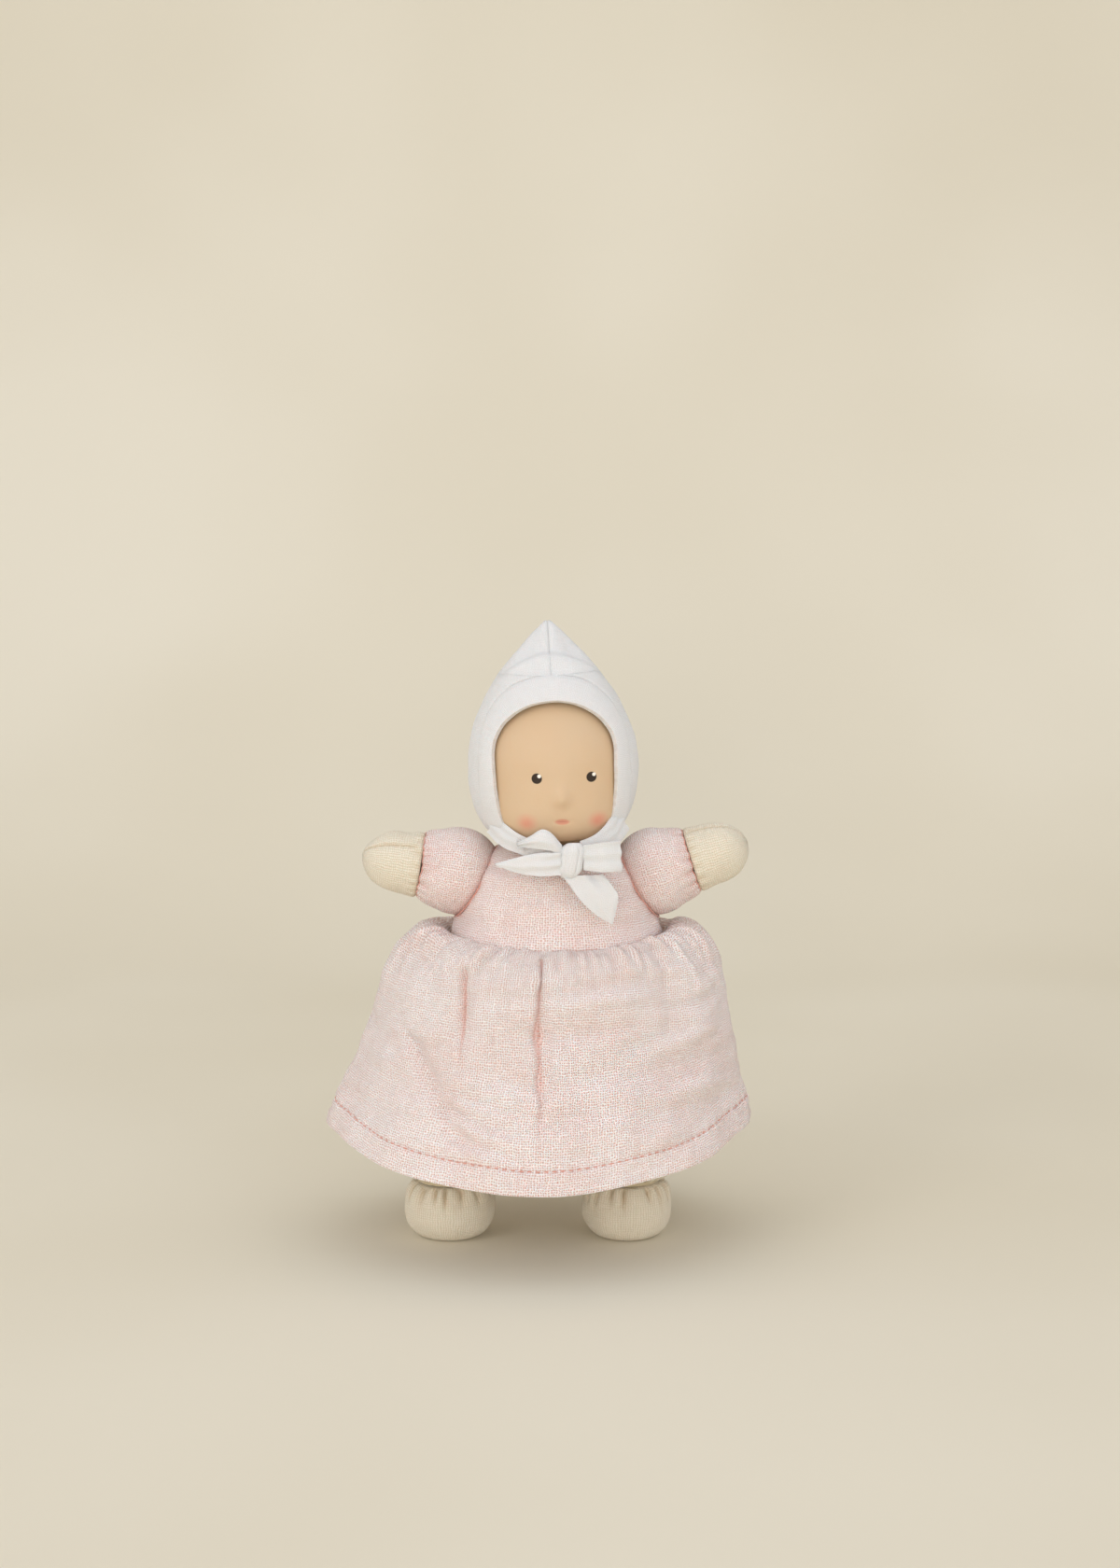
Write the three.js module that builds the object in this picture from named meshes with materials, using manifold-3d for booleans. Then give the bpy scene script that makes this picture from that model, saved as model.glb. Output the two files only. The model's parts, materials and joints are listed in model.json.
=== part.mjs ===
// A small stuffed cloth doll with a moulded rubber head, a pointed bonnet and a gathered dress.
// Millimetres, +Z up. The doll stands on z = 0 and faces -Y; left and right are its own, left is +X.
import * as THREE from "three";
import { mergeVertices } from "three/addons/utils/BufferGeometryUtils.js";
import Module from "manifold-3d";

const wasm = await Module();
wasm.setup();

// Cloth, walls and clearances
const GAP = 0.3; // between pieces that touch
const SWIVEL_GAP = 0.45; // between a ball-shaped limb root and its dish
const SKIN = 1; // cotton skin with its seam allowance
const SKIRT_CLOTH = 1.2; // double gauze with its gathers
const BONNET_CLOTH = 1.2;
const BRIM_STEP = 0.6; // how far the folded brim stands proud of the bonnet
const BOW_CLOTH = 1.1;
const RUBBER = 2.4; // wall of the head

// Stance
const FOOT_SPREAD = 28.7; // from the middle to each foot's centre
const BODY_SHIFT = 6; // the body leans over to its left by this much

// Feet and legs
const SOLE_RADIUS = 9.5;
const FOOT_RADIUS = 14.6;
const FOOT_BELLY = 9; // height of the widest ring
const FOOT_HEIGHT = 18;
const ANKLE_RADIUS = 10.6;
const ANKLE_THREAD = 1.2; // diameter of the drawn thread
const CALF_RADIUS = 17;
const CALF_RISE = 8.5; // widest ring above the ankle
const LEG_LENGTH = 42; // foot's top to the hip's centre
const HIP_RADIUS = 13.5;
const HIP_SPREAD = 17;
const HIP_CREASE = THREE.MathUtils.degToRad(34); // below the hip's centre, where the ball ends

// Trunk
const SEAT_CLEAR = 4; // seat's underside above the hip's centre
const SEAT_HEIGHT = 34;
const SEAT_HALF_DEPTH = 22.5; // at the underside
const WAIST_HALF_WIDTH = 33.8;
const WAIST_HALF_DEPTH = 27.8;
const BODICE_HEIGHT = 30.7;
const BODICE_SHOULDER = 26; // half-width that the shoulder line aims at
const BODICE_CHEST = 20; // half-depth that the chest line aims at
const NECKLINE_SEAM = 0.7; // bodice's edge round the neck's dish
const NECKLINE_OVAL = 0.8; // how much wider than deep the neckline is

// Arms
const SHOULDER_SPREAD = 31.5;
const SHOULDER_DROP = 9.5; // shoulder's centre below the neckline
const SHOULDER_RADIUS = 14;
const SLEEVE_ROOT = 8; // sleeve's open root inside the shoulder's centre
const SLEEVE_LENGTH = 11.7; // shoulder's centre to the wrist seam
const WRIST_RADIUS = 10;
const HAND_RADIUS = 9.8;
const HAND_LENGTH = 19.2;
const HAND_TIP = 12; // rounded end
const LEFT_ARM_RAISE = THREE.MathUtils.degToRad(17);
const RIGHT_ARM_RAISE = THREE.MathUtils.degToRad(9);

// Head, all heights from the neck's centre
const NECK_SINK = 5.2; // neck's centre below the neckline
const NECK_PLUG = 5.4; // neck's length below its centre
const NECK_RADIUS = 9.2;
const NECK_BORE = 5.2;
const GROOVE_RADIUS = 7.6;
const GROOVE_HEIGHT = 3.5;
const GROOVE_WIDTH = 1.8;
const GROOVE_SLOPE = 1.2;
const NECK_THREAD = 1.1;
const NECK_FRILL = 5.4; // top of the cloth ball's frill
const HEAD_RADIUS = 25;
const HEAD_JAW = 7.4;
const HEAD_WIDEST = 29.2;
const HEAD_TOP = 56.7;
const JAW_FULLNESS = 20; // half-width that the jaw line aims at
const NOSE_RADIUS = 2.6;
const NOSE_HEIGHT = 21.7;
const NOSE_OUT = 1.6;
const HEAD_TURN = THREE.MathUtils.degToRad(5.5);
const HEAD_TILT = THREE.MathUtils.degToRad(-2.2);

// Bonnet, heights from the neck's centre
const BONNET_EASE = 0.8; // room between head and bonnet
const BONNET_TURN = THREE.MathUtils.degToRad(-3.5); // how far it has slipped round the head
const BONNET_HEM_RISE = 2.3; // hem above the jaw
const BONNET_DRAW = 4; // how far the hem is drawn in under the head's radius
const PEAK_HEIGHT = 19.2; // peak above the crown of the head
const PEAK_FLARE = 17; // half-width that the peak's line aims at
const PEAK_BACK = 4; // the peak stands behind the middle
const PEAK_SEAM = 2.6; // cloth folded into the peak
const FACE_HALF_WIDTH = 18.7;
const FACE_RISE = 6.8; // face's widest level above the head's
const FACE_COVER = 4.8; // face's top edge below the crown of the head
const CHIN_RISE = 0.2; // face's lower edge above the jaw
const BRIM_WIDTH = 7.6; // brim's height over the forehead
const BRIM_SIDE = 5.8; // brim's width beside the cheeks, seen from the front
const BRIM_LOW = 14; // how far below the neck's centre the brim's seam line aims

// Bow and ties
const BOW_SIDE = 3.7; // knot to the left of the bonnet's middle
const BOW_STAND = 1.5; // knot in front of the head
const BOW_DROP = 4.4; // knot below the jaw
const KNOT_WIDTH = 8.4;
const KNOT_DEPTH = 6.4;
const KNOT_HEIGHT = 12;
const TIE_WIDTH = 9;
const TIE_FOLDED = 5; // width of a tie where it runs under the chin
const TIE_START = THREE.MathUtils.degToRad(50); // from the front, where a tie leaves the brim
const TIE_SLOPE = THREE.MathUtils.degToRad(37); // how steeply a tie lies under the chin
const TIE_LIFT = 1.8; // tie's lower edge above the knot's middle
const LOOP_LENGTH = 11.5;
const LOOP_PUFF = 2.8; // distance between a loop's two layers
const RIGHT_LOOP_RISE = THREE.MathUtils.degToRad(28);
const TAIL_TIP = 2; // width of a tail's cut end
const LEFT_TAIL_REACH = 9;
const LEFT_TAIL_DROP = 16;
const RIGHT_TAIL_REACH = 20;
const RIGHT_TAIL_DROP = 1.5;

// Skirt
const PUFF_SIDE = 21.4; // gathers beyond the waist at the sides
const PUFF_FRONT = 11.2; // and in front and behind
const PUFF_SIDE_RISE = 6.5; // gathers above the waist seam at the sides
const PUFF_FRONT_RISE = 1; // and in front and behind
const PUFF_DROP = 13; // fullest gathers below the waist seam
const HEM_HALF_WIDTH = 68.5;
const HEM_HALF_DEPTH = 58.5;
const SKIRT_SIDE_DROP = 59; // waist to hem at the sides
const SKIRT_FRONT_DROP = 69.5; // and in front and behind
const GATHERS = 11; // in half a turn
const GATHER_DEPTH = 1.3;
const HEM_WAVES = 8;
const HEM_WAVE_DEPTH = 1.6;
const PLEAT_DEPTH = 4.6;
const PLEAT_STEEP = 1.2; // width of a pleat's steep side
const PLEAT_SOFT = 4.6; // and of its soft side
const DIP_DEPTH = 2.6;
const DIP_STEEP = 3;
const DIP_SOFT = 5;
// Folds: angles in degrees at the waist and at the hem, and shares of the way down where they start and end
const PLEATS = [
  { top: -98, low: -89.5, start: 0.1, end: 0.86 },
  { top: -129, low: -110.5, start: 0.14, end: 0.62 },
  { top: 68, low: 66, start: 0.06, end: 0.9 },
  { top: 107, low: 108, start: 0.06, end: 0.9 },
];
const DIPS = [
  { top: -176, low: -109.4, start: 0.5, end: 1.05 },
  { top: -50, low: -44, start: 0.1, end: 0.8 },
  { top: 30, low: 34, start: 0.1, end: 0.8 },
  { top: 150, low: 146, start: 0.1, end: 0.8 },
];

// Shares that shape the curves
const DOME_END = 0.94 * (Math.PI / 2); // where a dome's outline stops short of its top
const LEG_CURVE = { hold: 0.4, ease: 0.6, tuck: 0.15 };
const BODICE_CURVE = { taper: 0.04, hold: 0.45, shoulder: 0.96 };
const PUFF_CURVE = { out: 0.3, lift: 1.5, hold: 0.12, roll: 0.6 };
const DRAPE_CURVE = { out: 0.1, high: 0.3, back: 0.45, low: 0.65 };
const SLEEVE_CURVE = { bend: THREE.MathUtils.degToRad(14), draw: 0.1, hold: 0.25, flare: 0.12, end: 0.85 };
const JAW_HOLD = 0.3;
const BONNET_CURVE = { spread: 0.58, low: 0.16, hold: 0.5, high: 0.4, flare: 0.66 };
const BONNET_TIP = 0.8; // radius of the peak's end
const FACE_CURVE = { cheek: 0.75, chin: 0.93 };
const GATHER_CURVE = { front: 0.35, sides: 1.5, round: 0.8, stray: 1.4, every: 3, phase: 0.6 };
const GATHER_REACH = { start: 0.1, fade: 0.12, end: 0.62 };
const FOLD_REACH = { start: 0.1, fade: 0.3 };
const FOLD_LIMIT = 0.55; // most of the cloth's stand-off that folds take up
const WAVE_STRAY = 0.5;
const LOOP_PINCH = 0.7; // a loop's width at the knot
const TAIL_WIDTH = { root: 0.6, middle: 0.8 }; // of the right tail
const TAIL_LOW = 0.3; // right tail below the knot's middle
const TIE_SAG = 0.55; // where a tie hangs lowest

// Steps of the curved surfaces
const LIMB_SIDES = 16;
const WOOL_SIDES = 12; // fillings and the hollows that they lie in
const DISH_SIDES = 20;
const TRUNK_SIDES = 24;
const HEAD_SIDES = 28;
const SKIRT_SIDES = 104;
const SKIRT_STEPS = 6; // in each half of the way down
const CURVE_STEPS = 2; // an arc takes twice as many
const WOOL_STEPS = 1;

// Heights of the joined pieces
const LEG_BOTTOM = FOOT_HEIGHT + ANKLE_THREAD + 2 * GAP;
const HIP_Z = FOOT_HEIGHT + LEG_LENGTH;
const SEAT_Z = HIP_Z + SEAT_CLEAR;
const WAIST_Z = SEAT_Z + SEAT_HEIGHT;
const NECKLINE_Z = WAIST_Z + BODICE_HEIGHT;
const SHOULDER_Z = NECKLINE_Z - SHOULDER_DROP;
const NECK_Z = NECKLINE_Z - NECK_SINK;

// Sizes that follow from others
const NECK_BALL = Math.hypot(NECK_RADIUS + GAP, NECK_PLUG + GAP) + SKIN; // cloth ball that holds the neck
const NECKLINE_HALF_DEPTH = NECK_BALL + SWIVEL_GAP + NECKLINE_SEAM;
const NECKLINE_HALF_WIDTH = NECKLINE_HALF_DEPTH + NECKLINE_OVAL;
const BONNET_RADIUS = HEAD_RADIUS + BONNET_EASE + BONNET_CLOTH;
const BONNET_HEM = HEAD_JAW + BONNET_HEM_RISE;
const BONNET_HEM_HALF = HEAD_RADIUS - BONNET_DRAW;
const BONNET_PEAK = HEAD_TOP + PEAK_HEIGHT;
const FACE_WIDEST = HEAD_WIDEST + FACE_RISE;
const FACE_TOP = HEAD_TOP - FACE_COVER;
const FACE_BOTTOM = HEAD_JAW + CHIN_RISE;
const BOW_OUT = HEAD_RADIUS + BOW_STAND;
const BOW_HEIGHT = HEAD_JAW - BOW_DROP;
const BEYOND = 200; // reach of a cutting body past the piece that it cuts
const CUTTER_NEAR = 0.3; // where the bonnet's cutter starts and ends, as a share of the way to the cloth
const CUTTER_FAR = 5;
const BRIM_LIMIT = 0.93; // the brim's seam stays in front of this share of the bonnet's half-width

const finish = (color, roughness) => new THREE.MeshStandardMaterial({ color, roughness, metalness: 0 });
const RUBBER_SKIN = finish("#e0bf9c", 0.62);
const WHITE_COTTON = finish("#e6e4e0", 0.92);
const PINK_GAUZE = finish("#e4d0c8", 0.95);
const CREAM_COTTON = finish("#dcd2be", 0.93);
const WOOL = finish("#efe7d4", 1);
const THREAD = finish("#e3d6bd", 0.85);

// A closed three.js geometry as a solid that can be cut and joined.
function solid(geometry) {
  const bare = geometry.clone();
  bare.deleteAttribute("normal");
  bare.deleteAttribute("uv");
  const merged = mergeVertices(bare, 1e-4);
  const corners = merged.index.array;
  const triangles = [];
  for (let i = 0; i < corners.length; i += 3) {
    const [a, b, c] = corners.subarray(i, i + 3);
    if (a !== b && b !== c && c !== a) triangles.push(a, b, c);
  }
  return new wasm.Manifold(
    new wasm.Mesh({
      numProp: 3,
      vertProperties: merged.attributes.position.array,
      triVerts: new Uint32Array(triangles),
    }),
  );
}

const cut = (body, ...tools) => tools.reduce((rest, tool) => rest.subtract(tool), body);

// A solid as a named mesh.
function piece(name, body, material) {
  const { numProp, numVert, vertProperties, triVerts } = body.getMesh();
  const position = new Float32Array(3 * numVert);
  for (let i = 0; i < numVert; i++)
    position.set(vertProperties.subarray(i * numProp, i * numProp + 3), 3 * i);
  const indexed = new THREE.BufferGeometry();
  indexed.setAttribute("position", new THREE.BufferAttribute(position, 3));
  indexed.setIndex(new THREE.BufferAttribute(triVerts, 1));
  const geometry = indexed.toNonIndexed();
  geometry.computeVertexNormals();
  const mesh = new THREE.Mesh(geometry, material);
  mesh.name = name;
  return mesh;
}

// A body through rows of points, each row anticlockwise about the way that the rows advance.
// Its ends are closed with fans, or its last row is joined to its first.
function loft(rows, joined = false) {
  const sides = rows[0].length;
  const points = rows.flat();
  const index = [];
  const spans = joined ? rows.length : rows.length - 1;
  for (let r = 0; r < spans; r++) {
    const next = ((r + 1) % rows.length) * sides;
    for (let i = 0; i < sides; i++) {
      const j = (i + 1) % sides;
      index.push(r * sides + i, r * sides + j, next + j, r * sides + i, next + j, next + i);
    }
  }
  if (!joined) {
    const hub = (row) => {
      const middle = new THREE.Vector3();
      row.forEach((p) => middle.addScaledVector(p, 1 / sides));
      return points.push(middle) - 1;
    };
    const first = hub(rows[0]);
    const last = hub(rows[rows.length - 1]);
    const top = (rows.length - 1) * sides;
    for (let i = 0; i < sides; i++) {
      const j = (i + 1) % sides;
      index.push(first, j, i, last, top + i, top + j);
    }
  }
  const geometry = new THREE.BufferGeometry().setFromPoints(points);
  geometry.setIndex(index);
  return solid(geometry);
}

// One level oval of points.
function oval(sides, z, halfWidth, halfDepth, x = 0, y = 0) {
  return Array.from({ length: sides }, (_, i) => {
    const angle = (2 * Math.PI * i) / sides;
    return new THREE.Vector3(x + halfWidth * Math.cos(angle), y + halfDepth * Math.sin(angle), z);
  });
}

// A round body about Z from an outline of (radius, height) points that runs from bottom to top.
function turned(outline, sides) {
  const least = 0.05;
  const rings = outline.filter((p) => p.x > least);
  return loft(rings.map((p) => oval(sides, p.y, p.x, p.x)));
}

const ball = (radius, sides, x = 0, y = 0, z = 0) =>
  solid(new THREE.SphereGeometry(radius, sides, sides / 2).rotateX(Math.PI / 2).translate(x, y, z));

const block = (width, depth, height, x, y, z) =>
  solid(new THREE.BoxGeometry(width, depth, height).translate(x, y, z));

const ring = (radius, thread, z) =>
  solid(new THREE.TorusGeometry(radius, thread / 2, 6, LIMB_SIDES).translate(0, 0, z));

// A flat strip along points, its width at each point lying along the direction across.
function strip(path, across, widths, thickness) {
  const curve = new THREE.CatmullRomCurve3(path);
  const steps = 2 * (path.length - 1);
  const rows = [];
  for (let i = 0; i <= steps; i++) {
    const t = i / steps;
    const tangent = curve.getTangent(t);
    const side = across.clone().addScaledVector(tangent, -across.dot(tangent)).normalize();
    const face = tangent.clone().cross(side);
    const at = t * (widths.length - 1);
    const low = Math.min(Math.floor(at), widths.length - 2);
    const half = THREE.MathUtils.lerp(widths[low], widths[low + 1], at - low) / 2;
    const corner = (u, v) =>
      curve.getPoint(t).addScaledVector(side, u * half).addScaledVector(face, (v * thickness) / 2);
    rows.push([corner(1, 1), corner(-1, 1), corner(-1, -1), corner(1, -1)]);
  }
  return loft(rows);
}

// The steps of an outline: a hollow or a filling takes fewer than the outside.
const steps = (inset) => (inset > 0 ? WOOL_STEPS : CURVE_STEPS);

// Feet and legs

// A foot's outline, drawn in from the cloth's outside by inset.
function footOutline(inset) {
  const path = new THREE.Path();
  path.moveTo(SOLE_RADIUS - inset, inset);
  const [sole, ankle] = [SOLE_RADIUS - inset, ANKLE_RADIUS - inset];
  const upper = FOOT_HEIGHT - FOOT_BELLY;
  path.absellipse(sole, FOOT_BELLY, FOOT_RADIUS - SOLE_RADIUS, FOOT_BELLY - inset, -Math.PI / 2, 0);
  path.absellipse(ankle, FOOT_BELLY, FOOT_RADIUS - ANKLE_RADIUS, upper, 0, Math.PI / 2);
  return path.getPoints(steps(inset));
}

// A leg's outline from the ankle to the ball at the hip.
function legOutline(inset) {
  const calf = LEG_BOTTOM + CALF_RISE;
  const hip = HIP_RADIUS - inset;
  const creaseX = hip * Math.cos(HIP_CREASE);
  const creaseZ = HIP_Z - hip * Math.sin(HIP_CREASE);
  const path = new THREE.Path();
  path.moveTo(ANKLE_RADIUS - inset, LEG_BOTTOM);
  path.absellipse(ANKLE_RADIUS - inset, calf, CALF_RADIUS - ANKLE_RADIUS, CALF_RISE, -Math.PI / 2, 0);
  path.bezierCurveTo(
    CALF_RADIUS - inset, calf + LEG_CURVE.hold * (creaseZ - calf),
    creaseX + LEG_CURVE.ease * (CALF_RADIUS - inset - creaseX), creaseZ - LEG_CURVE.tuck * (creaseZ - calf),
    creaseX, creaseZ,
  );
  path.absarc(0, HIP_Z, hip, -HIP_CREASE, DOME_END, false);
  return path.getPoints(steps(inset));
}

// The leg's middle moves from above the foot to below the hip.
function legBody(inset, side, below = 0) {
  const outline = legOutline(inset);
  const foot = side * FOOT_SPREAD;
  const hip = BODY_SHIFT + side * HIP_SPREAD;
  const middle = (z) => {
    const t = THREE.MathUtils.smoothstep(z, LEG_BOTTOM, HIP_Z - HIP_RADIUS);
    return THREE.MathUtils.lerp(foot, hip, t);
  };
  const sides = inset > 0 ? WOOL_SIDES : LIMB_SIDES;
  const rows = outline.map((p) => oval(sides, p.y, p.x, p.x, middle(p.y)));
  if (below > 0) rows.unshift(oval(sides, LEG_BOTTOM - below, outline[0].x, outline[0].x, foot));
  return loft(rows);
}

function makeLeg(name, side) {
  const foot = side * FOOT_SPREAD;
  const group = new THREE.Group();
  const footOpen = [...footOutline(SKIN), new THREE.Vector2(ANKLE_RADIUS - SKIN, LEG_BOTTOM)];
  const footCover = cut(turned(footOutline(0), LIMB_SIDES), turned(footOpen, WOOL_SIDES));
  group.add(piece(name + "_foot_cover", footCover.translate([foot, 0, 0]), CREAM_COTTON));
  const thread = ring(ANKLE_RADIUS - GAP, ANKLE_THREAD, FOOT_HEIGHT + GAP + ANKLE_THREAD / 2);
  group.add(piece(name + "_ankle_thread", thread.translate([foot, 0, 0]), THREAD));
  const legCover = cut(legBody(0, side), legBody(SKIN, side, ANKLE_THREAD));
  group.add(piece(name + "_leg_cover", legCover, CREAM_COTTON));
  const wool = SKIN + GAP;
  const footWool = turned(footOutline(wool), WOOL_SIDES).translate([foot, 0, 0]);
  const legWool = legBody(wool, side, LEG_BOTTOM - FOOT_BELLY);
  group.add(piece(name + "_leg_filling", footWool.add(legWool), WOOL));
  return group;
}

// Trunk

// The dishes that the limb roots turn in; the filling's are deeper by a skin and coarser.
const dishPair = (radius, sides, spread, z) =>
  [-1, 1].map((side) => ball(radius + SWIVEL_GAP, sides, side * spread, 0, z));
const hipDishes = (deeper, sides) => dishPair(HIP_RADIUS + deeper, sides, HIP_SPREAD, HIP_Z);
const shoulderDishes = (deeper, sides) =>
  dishPair(SHOULDER_RADIUS + deeper, sides, SHOULDER_SPREAD, SHOULDER_Z);
const neckDish = ball(NECK_BALL + SWIVEL_GAP, DISH_SIDES, 0, 0, NECK_Z);

// The bodice's rows from the waist to the neckline.
function bodiceRows(inset) {
  const lift = (share) => WAIST_Z + GAP + share * (BODICE_HEIGHT - GAP);
  const line = (waist, aim, neckline) =>
    new THREE.CubicBezierCurve(
      new THREE.Vector2(waist - inset, lift(0)),
      new THREE.Vector2(waist - inset - BODICE_CURVE.taper * waist, lift(BODICE_CURVE.hold)),
      new THREE.Vector2(aim - inset, lift(BODICE_CURVE.shoulder)),
      new THREE.Vector2(neckline - inset, lift(1)),
    ).getPoints(3 * CURVE_STEPS);
  const side = line(WAIST_HALF_WIDTH, BODICE_SHOULDER, NECKLINE_HALF_WIDTH);
  const front = line(WAIST_HALF_DEPTH, BODICE_CHEST, NECKLINE_HALF_DEPTH);
  return side.map((p, i) => oval(TRUNK_SIDES, p.y, p.x, front[i].x));
}

// The seat's rows from its underside to the waist.
function seatRows(inset) {
  const base = HIP_SPREAD + HIP_RADIUS + SWIVEL_GAP + 2 * SKIN;
  const middle = (SEAT_HALF_DEPTH + WAIST_HALF_DEPTH) / 2;
  return [
    oval(TRUNK_SIDES, SEAT_Z + inset, base - inset, SEAT_HALF_DEPTH - inset),
    oval(TRUNK_SIDES, SEAT_Z + SEAT_HEIGHT / 3, base - inset, middle - inset),
    oval(TRUNK_SIDES, WAIST_Z, WAIST_HALF_WIDTH - inset, WAIST_HALF_DEPTH - inset),
  ];
}

const raised = (row, by) => row.map((p) => p.clone().setZ(p.z + by));

function makeTrunk() {
  const group = new THREE.Group();
  const hollow = bodiceRows(SKIN);
  const open = [raised(hollow[0], -SKIN), ...hollow.slice(1), raised(hollow[hollow.length - 1], SKIN)];
  const bodice = cut(loft(bodiceRows(0)), loft(open), neckDish, ...shoulderDishes(0, DISH_SIDES));
  const half = (side) => block(BEYOND, BEYOND, BEYOND, 0, side * (BEYOND / 2 + GAP / 2), NECK_Z);
  group.add(piece("bodice_front", bodice.intersect(half(-1)), PINK_GAUZE));
  group.add(piece("bodice_back", bodice.intersect(half(1)), PINK_GAUZE));

  const pocket = seatRows(SKIN);
  const seatOpen = [...pocket, raised(pocket[pocket.length - 1], SKIN)];
  const seat = cut(loft(seatRows(0)), loft(seatOpen), ...hipDishes(0, DISH_SIDES));
  group.add(piece("seat_cover", seat, CREAM_COTTON));

  const wool = SKIN + GAP;
  const upper = bodiceRows(wool);
  upper.splice(-1, 1, raised(upper[upper.length - 1], -wool));
  const filling = loft([...seatRows(wool), ...upper]);
  const dishes = [neckDish, ...shoulderDishes(SKIN, LIMB_SIDES), ...hipDishes(SKIN, LIMB_SIDES)];
  group.add(piece("torso_filling", cut(filling, ...dishes), WOOL));
  return group;
}

// Skirt

// A meridian from the waist over the gathers to the hem, as (distance, height) points.
function skirtMeridian(bodice, beyond, rise, hem, drop) {
  const path = new THREE.Path();
  const waist = bodice + GAP;
  const puff = bodice + beyond;
  const puffZ = WAIST_Z - PUFF_DROP;
  const hemZ = WAIST_Z - drop;
  path.moveTo(waist, WAIST_Z);
  path.bezierCurveTo(
    waist + PUFF_CURVE.out * beyond, WAIST_Z + PUFF_CURVE.lift * rise,
    puff - PUFF_CURVE.hold * beyond, WAIST_Z + PUFF_CURVE.roll * rise,
    puff, puffZ,
  );
  path.bezierCurveTo(
    puff + DRAPE_CURVE.out * (hem - puff), puffZ - DRAPE_CURVE.high * (puffZ - hemZ),
    hem - DRAPE_CURVE.back * (hem - puff), puffZ - DRAPE_CURVE.low * (puffZ - hemZ),
    hem, hemZ,
  );
  return path.getPoints(SKIRT_STEPS);
}

// How far folds of one kind draw the cloth in at an angle, a share of the way down and a half-width.
function foldsIn(folds, depth, steep, soft, angle, share, halfWidth) {
  const { degToRad, euclideanModulo, lerp, smoothstep } = THREE.MathUtils;
  return folds.reduce((sum, fold) => {
    const turn = angle - degToRad(lerp(fold.top, fold.low, share));
    const off = (euclideanModulo(turn + Math.PI, 2 * Math.PI) - Math.PI) * halfWidth;
    const starts = smoothstep(share, fold.start, fold.start + FOLD_REACH.start);
    const ends = 1 - smoothstep(share, fold.end - FOLD_REACH.fade, fold.end);
    return sum + depth * starts * ends * Math.exp(-((off / (off < 0 ? steep : soft)) ** 2));
  }, 0);
}

// How far the cloth is drawn in at an angle, a share of the way down and a half-width,
// where it stands off from the waist by room.
function drawnIn(angle, share, halfWidth, room) {
  const { smoothstep } = THREE.MathUtils;
  const { front, sides, round, stray, every, phase } = GATHER_CURVE;
  const fullness = front + (1 - front) * Math.abs(Math.cos(angle)) ** sides;
  const ruffle = Math.abs(Math.sin(GATHERS * angle + stray * Math.sin(every * angle + phase))) ** round;
  const reach =
    smoothstep(share, 0, GATHER_REACH.start) * (1 - smoothstep(share, GATHER_REACH.fade, GATHER_REACH.end));
  const wave = (1 - Math.cos(HEM_WAVES * angle + WAVE_STRAY * Math.sin(angle))) / 2;
  const depth =
    GATHER_DEPTH * fullness * ruffle * reach +
    HEM_WAVE_DEPTH * share * share * wave +
    foldsIn(PLEATS, PLEAT_DEPTH, PLEAT_STEEP, PLEAT_SOFT, angle, share, halfWidth) +
    foldsIn(DIPS, DIP_DEPTH, DIP_STEEP, DIP_SOFT, angle, share, halfWidth);
  return Math.min(depth, FOLD_LIMIT * room);
}

function makeSkirt() {
  const side = skirtMeridian(WAIST_HALF_WIDTH, PUFF_SIDE, PUFF_SIDE_RISE, HEM_HALF_WIDTH, SKIRT_SIDE_DROP);
  const front = skirtMeridian(
    WAIST_HALF_DEPTH, PUFF_FRONT, PUFF_FRONT_RISE, HEM_HALF_DEPTH, SKIRT_FRONT_DROP,
  );
  const last = side.length - 1;
  const normal = (line, i) => {
    const run = line[Math.min(i + 1, last)].clone().sub(line[Math.max(i - 1, 0)]).normalize();
    return new THREE.Vector2(-run.y, run.x);
  };
  const row = (i, inset) => {
    const share = i / last;
    const outward = [normal(side, i), normal(front, i)];
    const level = i === last;
    const middle = BODY_SHIFT * (1 - share * share);
    return Array.from({ length: SKIRT_SIDES }, (_, k) => {
      const angle = -Math.PI + (2 * Math.PI * k) / SKIRT_SIDES;
      const [c, s] = [Math.cos(angle), Math.sin(angle)];
      const room = (side[i].x - side[0].x) * c * c + (front[i].x - front[0].x) * s * s;
      const drawn = drawnIn(angle, share, side[i].x, room);
      const halfWidth = side[i].x - drawn - inset * (level ? 1 : outward[0].x);
      const halfDepth = front[i].x - drawn - inset * (level ? 1 : outward[1].x);
      const down = level ? 0 : inset * (outward[0].y * c * c + outward[1].y * s * s);
      const z = side[i].y * c * c + front[i].y * s * s - down;
      return new THREE.Vector3(middle + halfWidth * c, halfDepth * s, z);
    });
  };
  const steps = side.map((_, i) => i);
  const inner = steps.map((i) => row(i, SKIRT_CLOTH));
  const outer = steps.map((i) => row(i, 0)).reverse();
  return piece("skirt", loft([...inner, ...outer], true), PINK_GAUZE);
}

// Arms, built along +Z from the shoulder's centre and turned into place

function sleeveOutline(inset, domed) {
  const radius = SHOULDER_RADIUS - inset;
  const root = domed ? DOME_END : Math.asin(SLEEVE_ROOT / SHOULDER_RADIUS);
  const { bend, draw, hold, flare, end } = SLEEVE_CURVE;
  const path = new THREE.Path();
  path.moveTo(radius * Math.cos(root), -radius * Math.sin(root));
  path.absarc(0, 0, radius, -root, bend, false);
  path.bezierCurveTo(
    radius * Math.cos(bend) - draw * SLEEVE_LENGTH, radius * Math.sin(bend) + hold * SLEEVE_LENGTH,
    WRIST_RADIUS - inset + flare * SLEEVE_LENGTH, end * SLEEVE_LENGTH,
    WRIST_RADIUS - inset, SLEEVE_LENGTH,
  );
  return path.getPoints(steps(inset));
}

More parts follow.
